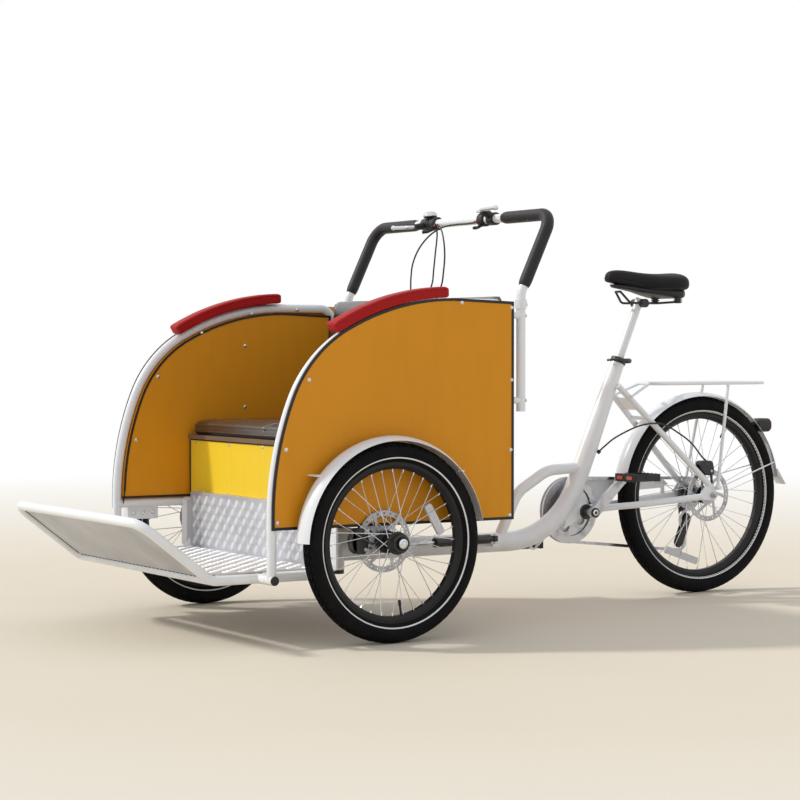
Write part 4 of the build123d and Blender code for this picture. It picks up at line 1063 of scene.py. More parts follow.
def make_side_trim(side, hand, width):
    """Rubber edging round a cabin side, outside and inside, and the side's screws."""
    trim = Shape()
    face = (
        (-width, PANEL_FACE + 0.05), (0.1, PANEL_FACE + 0.05), (0.1, SKIN_EDGE - 0.4),
        (1.3, SKIN_EDGE - 0.4), (1.3, 477.7), (0.8, 478.3), (0.6 - width, 478.3), (-width, 477.7),
    )
    edge_sweep(trim, cabin_edge(), face, side)
    lip = ((-width, INNER_FACE - 0.05), (0.2, INNER_FACE - 0.05), (0.2, 443.4), (-width, 443.4))
    edge_sweep(trim, cabin_edge(19.4, 6, 324.4, -378.9), lip, side)
    finished(trim, f"edge_trim_{hand}", "trim", "carriage")
    screws = Shape()
    for ahead, z in OUTER_SCREWS:
        add_screw(screws, place(ahead, side * PANEL_FACE, z), LEFT * side)
    for ahead, z in INNER_SCREWS:
        add_screw(screws, place(ahead, side * INNER_FACE, z), LEFT * -side)
    finished(screws, f"panel_screws_{hand}", "chrome", "carriage")


class RICKSHAW_OT_cabin(bpy.types.Operator):
    """Add the black edge trim and the screws to the cabin"""

    bl_idname = "rickshaw.cabin"
    bl_label = "Cabin trim"

    def execute(self, context):
        width = context.scene.rickshaw_sizes.trim_width * 1000
        for side, hand in SIDES:
            make_side_trim(side, hand, width)
        edges = Shape()
        proud = 0.9
        for z in (489.0, 333.2):
            path = [place(RISER_FACE + proud, y, z) for y in range(-436, 437, 109)]
            edges.tube(path, 0.0022, 8)
        for y in (-440.5, 440.5):
            edges.tube([place(RISER_FACE + proud, y, z) for z in (334, 400, 488)], 0.0024, 8)
        finished(edges, "riser_trim", "trim", "carriage")
        fixings = Shape()
        for y in (-400, -200, 0, 200, 400):
            for z in (481, 343):
                add_screw(fixings, place(RISER_FACE, y, z), AHEAD, 4)
        for y in (-330, -110, 110, 330):
            add_screw(fixings, place(104, y, 342), UP, 4)
        finished(fixings, "riser_screws", "chrome", "carriage")
        return {"FINISHED"}


# Tread plates

BAR_WIDTH, BAR_HEIGHT, BAR_SUNK, BAR_PITCH = 0.0031, 0.0012, 0.0002, 0.0058
PLATE_EDGE = 0.004
APRON_FOLD, APRON_NOSE = place(452, 0, 171), place(645.5, 0, 322)


def add_bar(shape, centre, along, across, normal, length):
    """One raised bar of tread plate, pointed at both ends."""
    half, wide = length / 2, BAR_WIDTH / 2
    shoulder = half * 0.72
    outline = (
        (half, 0), (shoulder, wide), (-shoulder, wide), (-half, 0), (-shoulder, -wide),
        (shoulder, -wide),
    )
    low = [centre + along * a + across * b - normal * BAR_SUNK for a, b in outline]
    high = [centre + along * a * 0.84 + across * b * 0.45 + normal * BAR_HEIGHT for a, b in outline]
    shape.skin([low, high])


def make_tread(name, corner, first, second, lengths, bar):
    """Fills a rectangle with groups of five bars that turn by a quarter each time."""
    shape = Shape()
    normal = first.cross(second).normalized()
    cell = bar * 1.32
    counts = [max(1, int(length / cell)) for length in lengths]
    starts = [(length - count * cell) / 2 for length, count in zip(lengths, counts)]
    for i in range(counts[0]):
        for j in range(counts[1]):
            centre = corner + first * (starts[0] + (i + 0.5) * cell)
            centre = centre + second * (starts[1] + (j + 0.5) * cell)
            turn = 1 if (i + j) % 2 else -1
            along = (first + second * turn).normalized()
            across = normal.cross(along)
            for k in range(-2, 3):
                reach = bar * (1 - 0.1 * abs(k))
                add_bar(shape, centre + across * k * BAR_PITCH, along, across, normal, reach)
    finished(shape, name, "bar_metal", "carriage")


def make_apron_gap_shade(slope, above, half):
    """Dark plates under the apron: dashes along its fold as painted shade of the gaps between tube and
    plate, and a dark strip down each side.
    """
    gap_shade = Shape()
    pitch, dash, strip = 0.024, 0.015, 0.004
    reach = (APRON_NOSE - APRON_FOLD).length
    cuts = []
    for k in range(int(2 * half / pitch)):
        cuts.append((0.0155, -half + 0.012 + k * pitch, 0.003, dash))
    for y in (-half + 0.003, half - 0.007):
        cuts.append((0.022, y, reach - 0.044, strip))
    # Dark plates that paint the shade of the gaps between the apron's tube and plate.
    for up_slope, y, run, wide in cuts:
        corner = APRON_FOLD + slope * up_slope - above * 0.0026 + LEFT * y
        across = LEFT * wide
        outline = [corner, corner + slope * run, corner + slope * run + across, corner + across]
        gap_shade.plate(outline, above, 0.0022, 0.0004)
    finished(gap_shade, "apron_gap_shade", "trim", "carriage")


class RICKSHAW_OT_tread_plates(bpy.types.Operator):
    """Raise the five-bar pattern on floor, kick plate and apron"""

    bl_idname = "rickshaw.tread_plates"
    bl_label = "Tread plates"

    def execute(self, context):
        bar = context.scene.rickshaw_sizes.bar_length
        low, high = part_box("floor_plate")
        corner = Vector((low[0] + PLATE_EDGE, low[1] + PLATE_EDGE, high[2]))
        reach = (high[0] - low[0] - 2 * PLATE_EDGE, high[1] - low[1] - 2 * PLATE_EDGE)
        make_tread("floor_tread", corner, AHEAD, LEFT, reach, bar)
        half = high[1] - PLATE_EDGE
        low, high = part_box("kick_plate")
        corner = Vector((high[0], low[1] + PLATE_EDGE, low[2] + 0.006))
        reach = (high[1] - low[1] - 2 * PLATE_EDGE, high[2] - low[2] - 0.012)
        make_tread("kick_tread", corner, LEFT, UP, reach, bar)
        slope = (APRON_NOSE - APRON_FOLD).normalized()
        above = Vector((-slope.z, 0, slope.x))
        corner = APRON_FOLD + slope * 0.024 + above * 0.0015 - LEFT * half
        length = (APRON_NOSE - APRON_FOLD).length - 0.046
        make_tread("apron_tread", corner, slope, LEFT, (length, 2 * half), bar)
        make_apron_gap_shade(slope, above, half)
        return {"FINISHED"}


# Padding

PIPING_R, PIPING_INSET = 0.0021, 0.007
VOXEL, PRESSURE = 0.007, 4.0


def pad_box(low, high, corner, lean=0.0, steps=5):
    """Closed pad with rounded edges that leans back by lean for each metre of height."""
    width, depth = high.y - low.y, high.x - low.x
    centre = Vector(((low.x + high.x) / 2, (low.y + high.y) / 2, 0))
    levels = []
    for k in range(steps, -1, -1):
        t = pi / 2 * k / steps
        levels.append((low.z + corner * (1 - sin(t)), corner * (1 - cos(t))))
    levels += [(low.z + high.z - z, inset) for z, inset in reversed(levels)]
    rings = []
    for z, inset in levels:
        at = centre + Vector((-lean * (z - low.z), 0, z))
        edge = max(0.004, corner * 1.6 - inset)
        rings.append(rounded(at, AHEAD, LEFT, depth - 2 * inset, width - 2 * inset, edge))
    shape = Shape()
    shape.skin(rings)
    return shape


def ring_round(low, high, z, corner):
    """Closed ring of points round a pad at one height, evenly divided."""
    centre = Vector(((low.x + high.x) / 2, (low.y + high.y) / 2, z))
    outline = rounded(centre, AHEAD, LEFT, high.x - low.x, high.y - low.y, corner, 10)
    return divided(outline + outline[:1], 0.012)[:-1]


class RICKSHAW_OT_cushion(bpy.types.Operator):
    """Make the seat cushion, stuffed and piped, with its sewn channels"""

    bl_idname = "rickshaw.cushion"
    bl_label = "Seat cushion"

    def execute(self, context):
        low, high = corners("seat_cushion")
        inset = Vector((0.004, 0.004, 0))
        shape = pad_box(low + inset, high - inset - UP * 0.003, 0.012)
        pad = finished(
            shape, "cushion_cover", "seat_vinyl", "carriage", stands_for=["seat_cushion"],
        )
        stuff(pad, VOXEL, PRESSURE, context.scene.rickshaw_sizes.swell)
        centre = (low + high) / 2

        def sewn(point):
            near_top = min(1.0, max(0.0, (point.z - centre.z) / 0.01))
            return near_top * (
                groove(point.y, 0.006, 0.006)
                + groove(point.x - centre.x - 0.12, 0.005, 0.0035)
                + groove(point.x - centre.x + 0.07, 0.005, 0.0035)
            )

        press(pad, sewn)
        bulge = 0.003
        for point in pad.data.vertices:
            point.co.z = max(point.co.z, low.z)
            point.co.y = max(low.y - bulge, min(high.y + bulge, point.co.y))
        welt = Shape()
        for z in (high.z - PIPING_INSET, low.z + PIPING_INSET):
            ring = hug(pad, ring_round(low, high, z, 0.02), PIPING_R * 0.4)
            welt.tube(ring, PIPING_R, 8, closed=True)
        finished(welt, "cushion_piping", "seat_vinyl", "carriage")
        return {"FINISHED"}


class RICKSHAW_OT_backrest(bpy.types.Operator):
    """Make the leaning backrest with its rolled top"""

    bl_idname = "rickshaw.backrest"
    bl_label = "Backrest"

    def execute(self, context):
        low, high = corners("backrest")
        lean_reach, thick = 0.078, 0.040
        lean = lean_reach / (high.z - low.z)
        foot_low = Vector((high.x - thick + 0.003, low.y + 0.003, low.z + 0.001))
        foot_high = Vector((high.x - 0.003, high.y - 0.003, high.z - 0.002))
        shape = pad_box(foot_low, foot_high, 0.016, lean)
        pad = finished(shape, "backrest_cover", "seat_vinyl", "carriage", stands_for=["backrest"])
        stuff(pad, VOXEL, PRESSURE, context.scene.rickshaw_sizes.swell * 0.8)

        def sewn(point):
            front = high.x - thick / 2 - lean * (point.z - low.z)
            facing = min(1.0, max(0.0, (point.x - front) / 0.008))
            return facing * (
                groove(point.z - high.z + 0.062, 0.007, 0.006)
                + groove(point.z - high.z + 0.21, 0.005, 0.0035)
                + groove(point.y, 0.006, 0.005)
            )

        press(pad, sewn)
        welt = Shape()
        parts = 35
        for y in (low.y + 0.006, high.y - 0.006):
            points = []
            for k in range(parts + 1):
                z = low.z + 0.01 + (high.z - low.z - 0.02) * k / parts
                points.append(Vector((high.x - lean * (z - low.z) - 0.006, y, z)))
            welt.tube(hug(pad, points, 0.0008), PIPING_R, 8)
        finished(welt, "backrest_piping", "seat_vinyl", "carriage")
        return {"FINISHED"}


# Armrests: where they begin and end on the cabin's arcs, and their section
ARMREST_START, ARMREST_END, ARMREST_GAP = 58, 89, 2
ARMREST_THICK, ARMREST_WIDTH, ARMREST_OUTER, ARMREST_BLUNT = 28.0, 50.0, 479.8, 9.0


def armrest_stations():
    """Points (ahead, z, outward x, outward z) along the underside of an armrest."""
    arcs = (
        # centre, radius, start, end, first part, parts
        (SHOULDER_CENTRE, SHOULDER_R, ARMREST_START, CROWN_START, 0, 6),
        (CROWN_CENTRE, CROWN_R, CROWN_START, ARMREST_END, 1, 36),
    )
    stations = []
    for centre, radius, start, end, first, parts in arcs:
        for k in range(first, parts + 1):
            angle = start + (end - start) * k / parts
            x, z = on_arc(centre, radius + ARMREST_GAP, angle)
            stations.append((x, z, cos(radians(angle)), sin(radians(angle))))
    return stations


def armrest_ring(share, wrinkle, ring_size=48):
    """Pairs (sideways, height) round an armrest; share says how full it is there."""
    half = ARMREST_WIDTH / 2
    ring = []
    for k in range(ring_size):
        t = 2 * pi * k / ring_size
        flat = squared(cos(t), 0.2) * half * (0.7 + 0.3 * share)
        rise = squared(sin(t), 0.24 if sin(t) > 0 else 0.2)
        level = ARMREST_THICK / 2 + rise * (ARMREST_THICK / 2 + wrinkle) * share
        crown = max(0.0, sin(t)) * cos(pi / 2 * min(1.0, abs(flat) / half)) ** 0.7
        ring.append((flat, level + 2.0 * crown * share))
    return ring


class RICKSHAW_OT_armrests(bpy.types.Operator):
    """Make the padded armrests along the tops of the cabin's sides"""

    bl_idname = "rickshaw.armrests"
    bl_label = "Armrests"

    def execute(self, context):
        stations = armrest_stations()
        lengths = [0.0]
        for before, after in zip(stations, stations[1:]):
            lengths.append(lengths[-1] + hypot(after[0] - before[0], after[1] - before[1]))
        for side, hand in SIDES:
            middle_y = side * (ARMREST_OUTER - ARMREST_WIDTH / 2)
            rings = []
            seams = {1: [], -1: []}
            for (x, z, out_x, out_z), run in zip(stations, lengths):
                from_end = min(run, lengths[-1] - run)
                share = 1.0
                if from_end < ARMREST_BLUNT:
                    share = max(0.5, (1 - (1 - from_end / ARMREST_BLUNT) ** 3.2) ** (1 / 3.2))
                wrinkle = 0.5 * noise.noise(Vector((run * 0.05, side * 3.0, 0)))
                rings.append([
                    place(x + out_x * level, middle_y + flat, z + out_z * level)
                    for flat, level in armrest_ring(share, wrinkle)
                ])
                if from_end > 3:
                    reach = ARMREST_WIDTH / 2 * (0.7 + 0.3 * share) - 0.6
                    level = ARMREST_THICK * (0.5 + 0.36 * share)
                    at = place(x + out_x * level, middle_y, z + out_z * level)
                    for way in (1, -1):
                        seams[way].append(at + LEFT * (way * reach / 1000))
            shape = Shape()
            shape.skin(rings)
            pad = finished(
                shape, f"armrest_pad_{hand}", "red_vinyl", "carriage", 60, [f"armrest_{hand}"],
            )
            smoothed(pad, 1)
            welt = Shape()
            for way in (1, -1):
                welt.tube(hug(pad, seams[way], 0.0004), 0.0014, 8)
            finished(welt, f"armrest_seams_{hand}", "red_vinyl", "carriage")
        return {"FINISHED"}


SADDLE_SECTIONS = (
    # ahead, half width, top z, depth
    (-1077, 9, 972, 18), (-1080, 15, 977, 26), (-1088, 20, 983, 34), (-1104, 24, 987, 41),
    (-1130, 28, 987, 45), (-1160, 34, 984, 48), (-1188, 45, 981, 50), (-1212, 61, 979, 52),
    (-1236, 78, 978, 54), (-1262, 90, 979, 56), (-1290, 97, 981, 58), (-1312, 95, 981, 57),
    (-1326, 86, 977, 52), (-1333, 72, 970, 40), (-1335, 60, 963, 28),
)
TRAY_SECTIONS = (
    # ahead, half width, low z, high z
    (-1096, 9, 938, 944), (-1104, 14, 934, 944), (-1140, 20, 929, 942), (-1185, 30, 922, 938),
    (-1230, 50, 914, 936), (-1275, 70, 907, 934), (-1308, 74, 903, 932), (-1324, 66, 905, 930),
    (-1330, 52, 910, 928),
)


def saddle_ring(ahead, half, top, depth, ring_size=40):
    """One cross section of the saddle, dished along its middle behind the nose."""
    dish = 5.0 * min(1.0, max(0.0, (-1170 - ahead) / 60))
    ring = []
    for k in range(ring_size):
        t = 2 * pi * k / ring_size
        flat = squared(cos(t), 0.72)
        z = top - depth / 2 + squared(sin(t), 0.62 if sin(t) > 0 else 0.4) * depth / 2
        if sin(t) > 0:
            z -= groove(flat * half, 16, dish) + 5.0 * abs(flat) ** 3
        ring.append(place(ahead, flat * half, z))
    return ring


class RICKSHAW_OT_saddle(bpy.types.Operator):
    """Make the rider's saddle with its stitched cover and its tray"""

    bl_idname = "rickshaw.saddle"
    bl_label = "Saddle"

    def execute(self, context):
        shape = Shape()
        shape.skin([saddle_ring(*section) for section in SADDLE_SECTIONS])
        cover = finished(shape, "saddle_cover", "black_vinyl", "rear_frame", 80, ["saddle"])
        smoothed(cover, 2)
        welt = Shape()
        for way in (1, -1):
            seam = [
                place(ahead, way * half * 0.97, top - depth * 0.62)
                for ahead, half, top, depth in SADDLE_SECTIONS[1:-1]
            ]
            welt.tube(hug(cover, seam, 0.0005), 0.0013, 8)
        finished(welt, "saddle_seams", "black_vinyl", "rear_frame")
        tray = Shape()
        rings = []
        for ahead, half, low_z, high_z in TRAY_SECTIONS:
            at = place(ahead, 0, (low_z + high_z) / 2)
            height = (high_z - low_z) / 1000
            rings.append(rounded(at, LEFT, UP, half / 500, height, height * 0.42))
        tray.skin(rings)
        finished(tray, "saddle_tray", "black_plastic", "rear_frame", 50)
        return {"FINISHED"}


# Handlebar: its bar, its uprights and where they bend
BAR_Z, BAR_AHEAD, UPRIGHT_AHEAD, UPRIGHT_Y, UPRIGHT_BEND = 1115, -550, -447, 455, 900
SLEEVE_R, SLEEVE_END_Y = 0.0172, 225
SLEEVE_ENDS = (0.80, 0.93, 0.98, 1.0)


class RICKSHAW_OT_grips(bpy.types.Operator):
    """Make the foam sleeves round the handlebar's corners"""

    bl_idname = "rickshaw.grips"
    bl_label = "Foam grips"

    def execute(self, context):
        for side, hand in SIDES:
            bend = place(UPRIGHT_AHEAD, side * UPRIGHT_Y, UPRIGHT_BEND)
            corner = place(BAR_AHEAD, side * UPRIGHT_Y, BAR_Z)
            foot = bend + (corner - bend).normalized() * 0.020
            end = place(BAR_AHEAD, side * SLEEVE_END_Y, BAR_Z)
            path = divided(bent([foot, corner, end], 0.050, 14), 0.007)
            radii = []
            for k in range(len(path)):
                from_end = min(k, len(path) - 1 - k)
                uneven = 1 + 0.012 * noise.noise(Vector((k * 0.35, side * 5.0, 0)))
                radii.append(SLEEVE_R * SLEEVE_ENDS[min(from_end, 3)] * uneven)
            shape = Shape()
            shape.tube(path, radii, 28)
            sleeve = finished(
                shape, f"foam_sleeve_{hand}", "foam", "carriage", 70, [f"foam_grip_{hand}"],
            )
        return {"FINISHED"}


# Handlebar fittings

LEVER_Y, SHIFTER_Y = 172, 126
# Closed sections of clamps that sit round the bar, as radius and width
BAR_CLAMP = ((12.9, -14), (17.4, -14), (18.2, -13), (18.2, 13), (17.4, 14), (12.9, 14))
SHIFTER_BODY = ((12.9, -13), (18.4, -13), (19.6, -11.5), (19.6, 11.5), (18.4, 13), (12.9, 13))
BELL_CLAMP = ((12.9, -5), (15.6, -5), (16.4, -4), (16.4, 4), (15.6, 5), (12.9, 5))


def add_lever(shape, side):
    """Brake lever on the bar: clamp, stem and pivot, then its bright blade with a ball end."""
    lift = 22 if side > 0 else -9
    lever_y = side * LEVER_Y
    shape.lathe(BAR_CLAMP, place(BAR_AHEAD, lever_y, BAR_Z), LEFT * side, 32)
    pivot = place(BAR_AHEAD + 36, lever_y + side * 2, BAR_Z + lift * 0.9)
    stem = [
        place(BAR_AHEAD + 6, lever_y, BAR_Z + lift * 0.2),
        place(BAR_AHEAD + 20, lever_y, BAR_Z + lift * 0.6),
        pivot,
    ]
    shape.tube(stem, [0.0115, 0.0108, 0.0088], 18, width=1.3)
    shape.lathe(((7.8, -8), (8.6, -7), (8.6, 7), (7.8, 8), (4, 8.8)), pivot, UP, 20)
    shape.layer = 1
    blade = [
        pivot,
        place(BAR_AHEAD + 56, lever_y + side * 20, BAR_Z + lift),
        place(BAR_AHEAD + 58, lever_y + side * 96, BAR_Z + lift + 2),
    ]
    shape.tube(bent(blade, 0.018), 0.0052, 16, width=1.25)
    ball = ((2, -8), (5.6, -6), (7.2, -1), (6.4, 4), (3.2, 6.4))
    shape.lathe(ball, blade[-1], LEFT * side, 18)


def add_shifter(shape, side):
    """Shifter with its thumb lever and cable barrel, and on the left its cover with a red mark."""
    shifter_y = side * SHIFTER_Y
    inward = LEFT * -side
    shape.layer = 0
    shape.lathe(SHIFTER_BODY, place(BAR_AHEAD, shifter_y, BAR_Z), LEFT * side, 36)
    barrel = place(BAR_AHEAD + 12, shifter_y - side * 13, BAR_Z - 6)
    shape.lathe(((5.4, 0), (5.4, 7), (4.2, 8), (4.2, 17), (3, 18)), barrel, inward, 16)
    thumb = [
        place(BAR_AHEAD + 10, shifter_y, BAR_Z - 16),
        place(BAR_AHEAD + 26, shifter_y + side * 4, BAR_Z - 24),
        place(BAR_AHEAD + 40, shifter_y + side * 12, BAR_Z - 25),
    ]
    shape.tube(thumb, [0.0046, 0.004, 0.005], 12, width=1.5)
    if side > 0:
        shape.layer = 1
        top = place(BAR_AHEAD + 4, shifter_y, BAR_Z + 18.6)
        shape.plate(rounded(top, LEFT, AHEAD, 0.046, 0.026, 0.009), UP, 0.0075, 0.0026)
        shape.layer = 2
        mark = place(BAR_AHEAD + 4, shifter_y - 4, BAR_Z + 26)
        shape.lathe(((3.6, 0), (3.6, 1.2), (2.4, 1.8)), mark, UP, 16)
    shape.layer = 3
    shape.lathe(((5.7, 2), (5.7, 6)), barrel, inward, 16)


CABLE_R = 0.0024
CABLE_ROUTES = (
    # ahead, y, z from each control down to the rear panel
    (
        (-537, 112, 1108), (-535, 60, 1106), (-534, 0, 1106), (-531, -60, 1101), (-526, -118, 1082),
        (-520, -168, 1046), (-516, -198, 1002), (-514, -206, 958), (-508, -200, 912), (-482, -182, 858),
        (-452, -166, 812), (-441, -160, 776), (-430, -160, 755), (-406.5, -160, 750),
    ),
    (
        (-541, -108, 1103), (-532, -92, 1076), (-524, -88, 1030), (-518, -88, 980), (-514, -91, 938),
        (-496, -98, 892), (-464, -108, 838), (-443, -110, 786), (-431, -110, 755), (-406.5, -110, 750),
    ),
    (
        (-537, -116, 1109), (-533, -92, 1108), (-528, -62, 1092), (-521, -38, 1056), (-517, -28, 1014),
        (-514, -30, 970), (-512, -37, 934), (-494, -42, 888), (-462, -41, 836), (-443, -40, 786),
        (-431, -40, 755), (-406.5, -40, 750),
    ),
)


def make_bell():
    """Bell beside the right lever, its dome tipped a little forward."""
    bell = Shape()
    stand = place(BAR_AHEAD + 2, -150, BAR_Z)
    bell.lathe(BELL_CLAMP, stand, LEFT, 28)
    tipped = Vector((0.1, 0, 0.995))
    bell.lathe(((8, 13), (9, 17), (17.5, 18.5), (19.8, 21), (19.8, 24.5), (18, 25.5)), stand, tipped, 32)
    bell.layer = 1
    dome = ((20.6, 23.6), (21.2, 25), (20.6, 28.6), (17.6, 33), (12, 36.2), (4.6, 37.6), (1, 37.7))
    bell.lathe(dome, stand, tipped, 40)
    finished(bell, "bell", ("black_plastic", "chrome"), "carriage")


class RICKSHAW_OT_controls(bpy.types.Operator):
    """Add the brake levers, shifters, bell, cables and upright bolts"""

    bl_idname = "rickshaw.controls"
    bl_label = "Handlebar fittings"

    def execute(self, context):
        for side, hand in SIDES:
            control = Shape()
            add_lever(control, side)
            add_shifter(control, side)
            finished(
                control, f"control_{hand}", ("black_plastic", "chrome", "red_lens", "amber_lens"),
                "carriage", stands_for=[f"hand_control_{hand}"],
            )
        make_bell()
        cables, collars = Shape(), Shape()
        for route in CABLE_ROUTES:
            cables.tube(smooth([place(*point) for point in route]), CABLE_R, 10)
            ahead, y, z = route[-1]
            collar = ((6.5, 0), (6.5, 2), (4.5, 4), (3, 4.4))
            collars.lathe(collar, place(ahead + 0.6, y, z), -AHEAD, 18)
        names = ["cable_left", "cable_middle", "cable_right"]
        finished(cables, "control_cables", "cable", "carriage", stands_for=names)
        finished(collars, "cable_grommets", "black_plastic", "carriage")
        bolts = Shape()
        for side, _ in SIDES:
            for z in (613, 840):
                at = place(UPRIGHT_AHEAD - 12.3, side * UPRIGHT_Y, z)
                bolts.lathe(((6.4, 0), (6.4, 1.2), (5.2, 1.4), (5.0, 5.0), (4.0, 5.6)), at, -AHEAD, 6)
            at = place(UPRIGHT_AHEAD - 16, side * UPRIGHT_Y, 870)
            bolts.lathe(((5, -1), (5, 3.2), (3.8, 4.2), (2.6, 4.2), (2.4, 2.2)), at, -AHEAD, 16)
        finished(bolts, "upright_bolts", "chrome", "carriage")
        return {"FINISHED"}


# Brakes

FRONT_CHEEK = (
    # ahead and height about the front axle
    (54, -22), (64, -29), (84, -29), (96, -20), (100, -4), (100, 12), (96, 28), (84, 37), (66, 37),
    (54, 26), (50, 4),
)
FRONT_BRIDGE = ((86, -26), (96, -19), (100, -4), (100, 12), (96, 27), (86, 34), (88, 4))
REAR_CHEEK = (
    # ahead and height about the rear axle
    (18, 64), (27, 69), (35, 80), (40, 91), (38, 101), (31, 106), (-2, 106), (-10, 100), (-14, 84),
    (-15, 66), (-8, 61), (6, 60),
)
REAR_BRIDGE = (
    (33, 90), (38, 96), (37, 103), (30, 106), (-2, 106), (-9, 101), (-9, 91), (-2, 88.5), (18, 87),
)
DISC_Y, AXLE_Z = 484, 257
HOSE_R = 0.0025
HOSE_ROUTE = (
    # ahead, y, z from the frame back along the seat stay
    (-1033, 16, 440), (-1052, 26, 460), (-1085, 42, 488), (-1160, 58, 520), (-1240, 59, 524),
    (-1310, 56, 494), (-1362, 53, 462),
)


def make_front_caliper(side, hand):
    """Two cheeks and a bridge over the disc, with the lever that pulls the pad."""
    caliper = Shape()
    outward = LEFT * side
    for edge, start, thick in ((FRONT_CHEEK, -15, 9), (FRONT_CHEEK, 6, 5), (FRONT_BRIDGE, -15, 26)):
        outline = [place(x, side * (DISC_Y + start), AXLE_Z + z) for x, z in edge]
        caliper.plate(outline, outward, thick / 1000, 0.0016)
    foot = rounded(place(54, side * 455.2, 262), AHEAD, UP, 0.018, 0.030, 0.004)
    caliper.plate(foot, outward, 0.0155, 0.001)
    boss = place(74, side * (DISC_Y - 14), 262)
    caliper.lathe(((17, 0), (17, 5), (15, 7), (13.5, 12), (11, 13)), boss, -outward, 28)
    arm = [place(x, side * (DISC_Y - 25), z) for x, z in ((74, 262), (66, 282), (58, 298))]
    caliper.tube(arm, [0.007, 0.005, 0.0042], 12, width=0.6)
    caliper.layer = 1
    head = ((5, 0), (5, 3.6), (4, 4.6), (2.4, 4.6), (2.2, 2.6))
    for x, z in ((62, -18), (62, 26)):
        caliper.lathe(head, place(x, side * (DISC_Y + 10.8), AXLE_Z + z), outward, 16)
    caliper.lathe(((6, 12), (6, 15), (4.6, 16)), boss, -outward, 6)
    finished(
        caliper, f"caliper_front_{hand}", ("black_metal", "steel"), "carriage",
        stands_for=[f"front_caliper_{hand}"],
    )


def make_rear_caliper():
    """Two cheeks and a bridge over the rear disc, on the arm that holds them to the frame."""
    def about_axle(x, y, z):
        return REAR_HUB + Vector((x, y, z)) / 1000

    caliper = Shape()
    for edge, start, thick in ((REAR_CHEEK, 36, 8.4), (REAR_CHEEK, 55.6, 8), (REAR_BRIDGE, 36, 28)):
        outline = [about_axle(x, start, z) for x, z in edge]
        caliper.plate(outline, LEFT, thick / 1000, 0.0018)
    root, tail = about_axle(-4, 60.5, 64), about_axle(-7, 60.5, 28)
    caliper.tube([root, root.lerp(tail, 0.5), tail], 0.0058, 12, width=0.7)
    caliper.layer = 1
    head = ((4.6, -3), (4.6, 1.4), (3.6, 2.2), (2.2, 2.2), (2, 0.6))
    for x, z in ((-3, 74), (-7, 30)):
        caliper.lathe(head, about_axle(x, 63.8, z), LEFT, 16)
    finished(
        caliper, "caliper_rear", ("black_metal", "steel"), "rear_frame", stands_for=["rear_caliper"],
    )


class RICKSHAW_OT_brakes(bpy.types.Operator):
    """Make the brake calipers and the rear one's hose"""

    bl_idname = "rickshaw.brakes"
    bl_label = "Brakes"

    def execute(self, context):
        for side, hand in SIDES:
            make_front_caliper(side, hand)
        make_rear_caliper()
        low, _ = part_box("rear_hose")
        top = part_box("rear_caliper")[1][2]
        end = Vector((low[0] + 0.0026, 0.05, top))
        route = [place(*point) for point in HOSE_ROUTE] + [end + Vector((0.018, 0, 0.014)), end]
        hose = Shape()
        hose.tube(smooth(route), HOSE_R, 10)
        hose.lathe(((6, -1), (6, 8), (4, 10), (2.6, 10.5)), route[0], route[1] - route[0], 18)
        finished(hose, "hose", "cable", "rear_frame", stands_for=["rear_hose"])
        return {"FINISHED"}


# Drive fittings

STUDS_Y = (95, 112, 130, 148, 168)
REFLECTORS_Y = (112, 158)


def make_crank_end(side, hand):
    """Crank's cap with its bright bolt, and the cup of the bearing behind it."""
    cap = Shape()
    outward = LEFT * side
    at = Vector((CRANK_HUB.x, side * 0.081, CRANK_HUB.z))
    cap.lathe(((14.5, -0.5), (14.5, 1.8), (12.8, 3.0), (10.4, 3.2)), at, outward, 36)
    cap.layer = 1
    cap.lathe(((9.4, 2.4), (9.4, 3.4), (7.6, 4.2), (5.2, 4.2), (4.6, 2.8), (1, 2.6)), at, outward, 24)
    finished(cap, f"crank_cap_{hand}", ("black_plastic", "chrome"), "crank_assembly")
    cup = Shape()
    at = Vector((CRANK_HUB.x, side * 0.034, CRANK_HUB.z))
    cup.lathe(((22.6, 0.4), (22.6, 5), (20.5, 7), (12, 7.6)), at, outward, 36)
    finished(cup, f"bearing_cup_{hand}", "black_metal", "rear_frame")


def make_pedal_fittings(side, hand):
    """Amber reflectors on a pedal's two edges, and the studs on both its faces."""
    low, high = corners(f"pedal_{hand}")
    spindle = (low + high) / 2
    body = f"pedal_assembly_{hand}"
    amber, studs = Shape(), Shape()
    for way in (1, -1):
        for y in REFLECTORS_Y:
            face = Vector((spindle.x + way * 0.0479, side * y / 1000, spindle.z))
            outline = rounded(face, LEFT, UP, 0.027, 0.0105, 0.0025)
            amber.plate(outline, AHEAD * way, 0.0024, 0.0008)
        for x in (-0.042, 0.042):
            for y in STUDS_Y:
                at = Vector((spindle.x + x, side * y / 1000, spindle.z + way * 0.011))
                studs.lathe(((2.6, -0.3), (2.4, 1.0), (1.4, 1.5)), at, UP * way, 8)
    finished(amber, f"pedal_reflector_{hand}", "amber_lens", body)
    finished(studs, f"pedal_studs_{hand}", "black_plastic", body)


class RICKSHAW_OT_drive(bpy.types.Operator):
    """Add caps, bearing cups, ring bolts and the pedals' reflectors and studs"""

    bl_idname = "rickshaw.drive"
    bl_label = "Drive fittings"

    def execute(self, context):
        for side, hand in SIDES:
            make_crank_end(side, hand)
            make_pedal_fittings(side, hand)
        bolts = Shape()
        for turn in range(5):
            at = around(CRANK_HUB, 80, radians(18 + 72 * turn), -0.0565)
            bolts.lathe(((5.2, 0), (5.2, 1.4), (4, 2), (2.6, 2), (2.4, 0.8)), at, -LEFT, 16)
        finished(bolts, "ring_bolts", "chrome", "crank_assembly")
        return {"FINISHED"}


# Fittings on the frame

SEAT_TUBE_MIDDLE, SEAT_TUBE_TOP = place(-1016, 0, 470), place(-1118, 0, 706)
HEX_R = 7.0


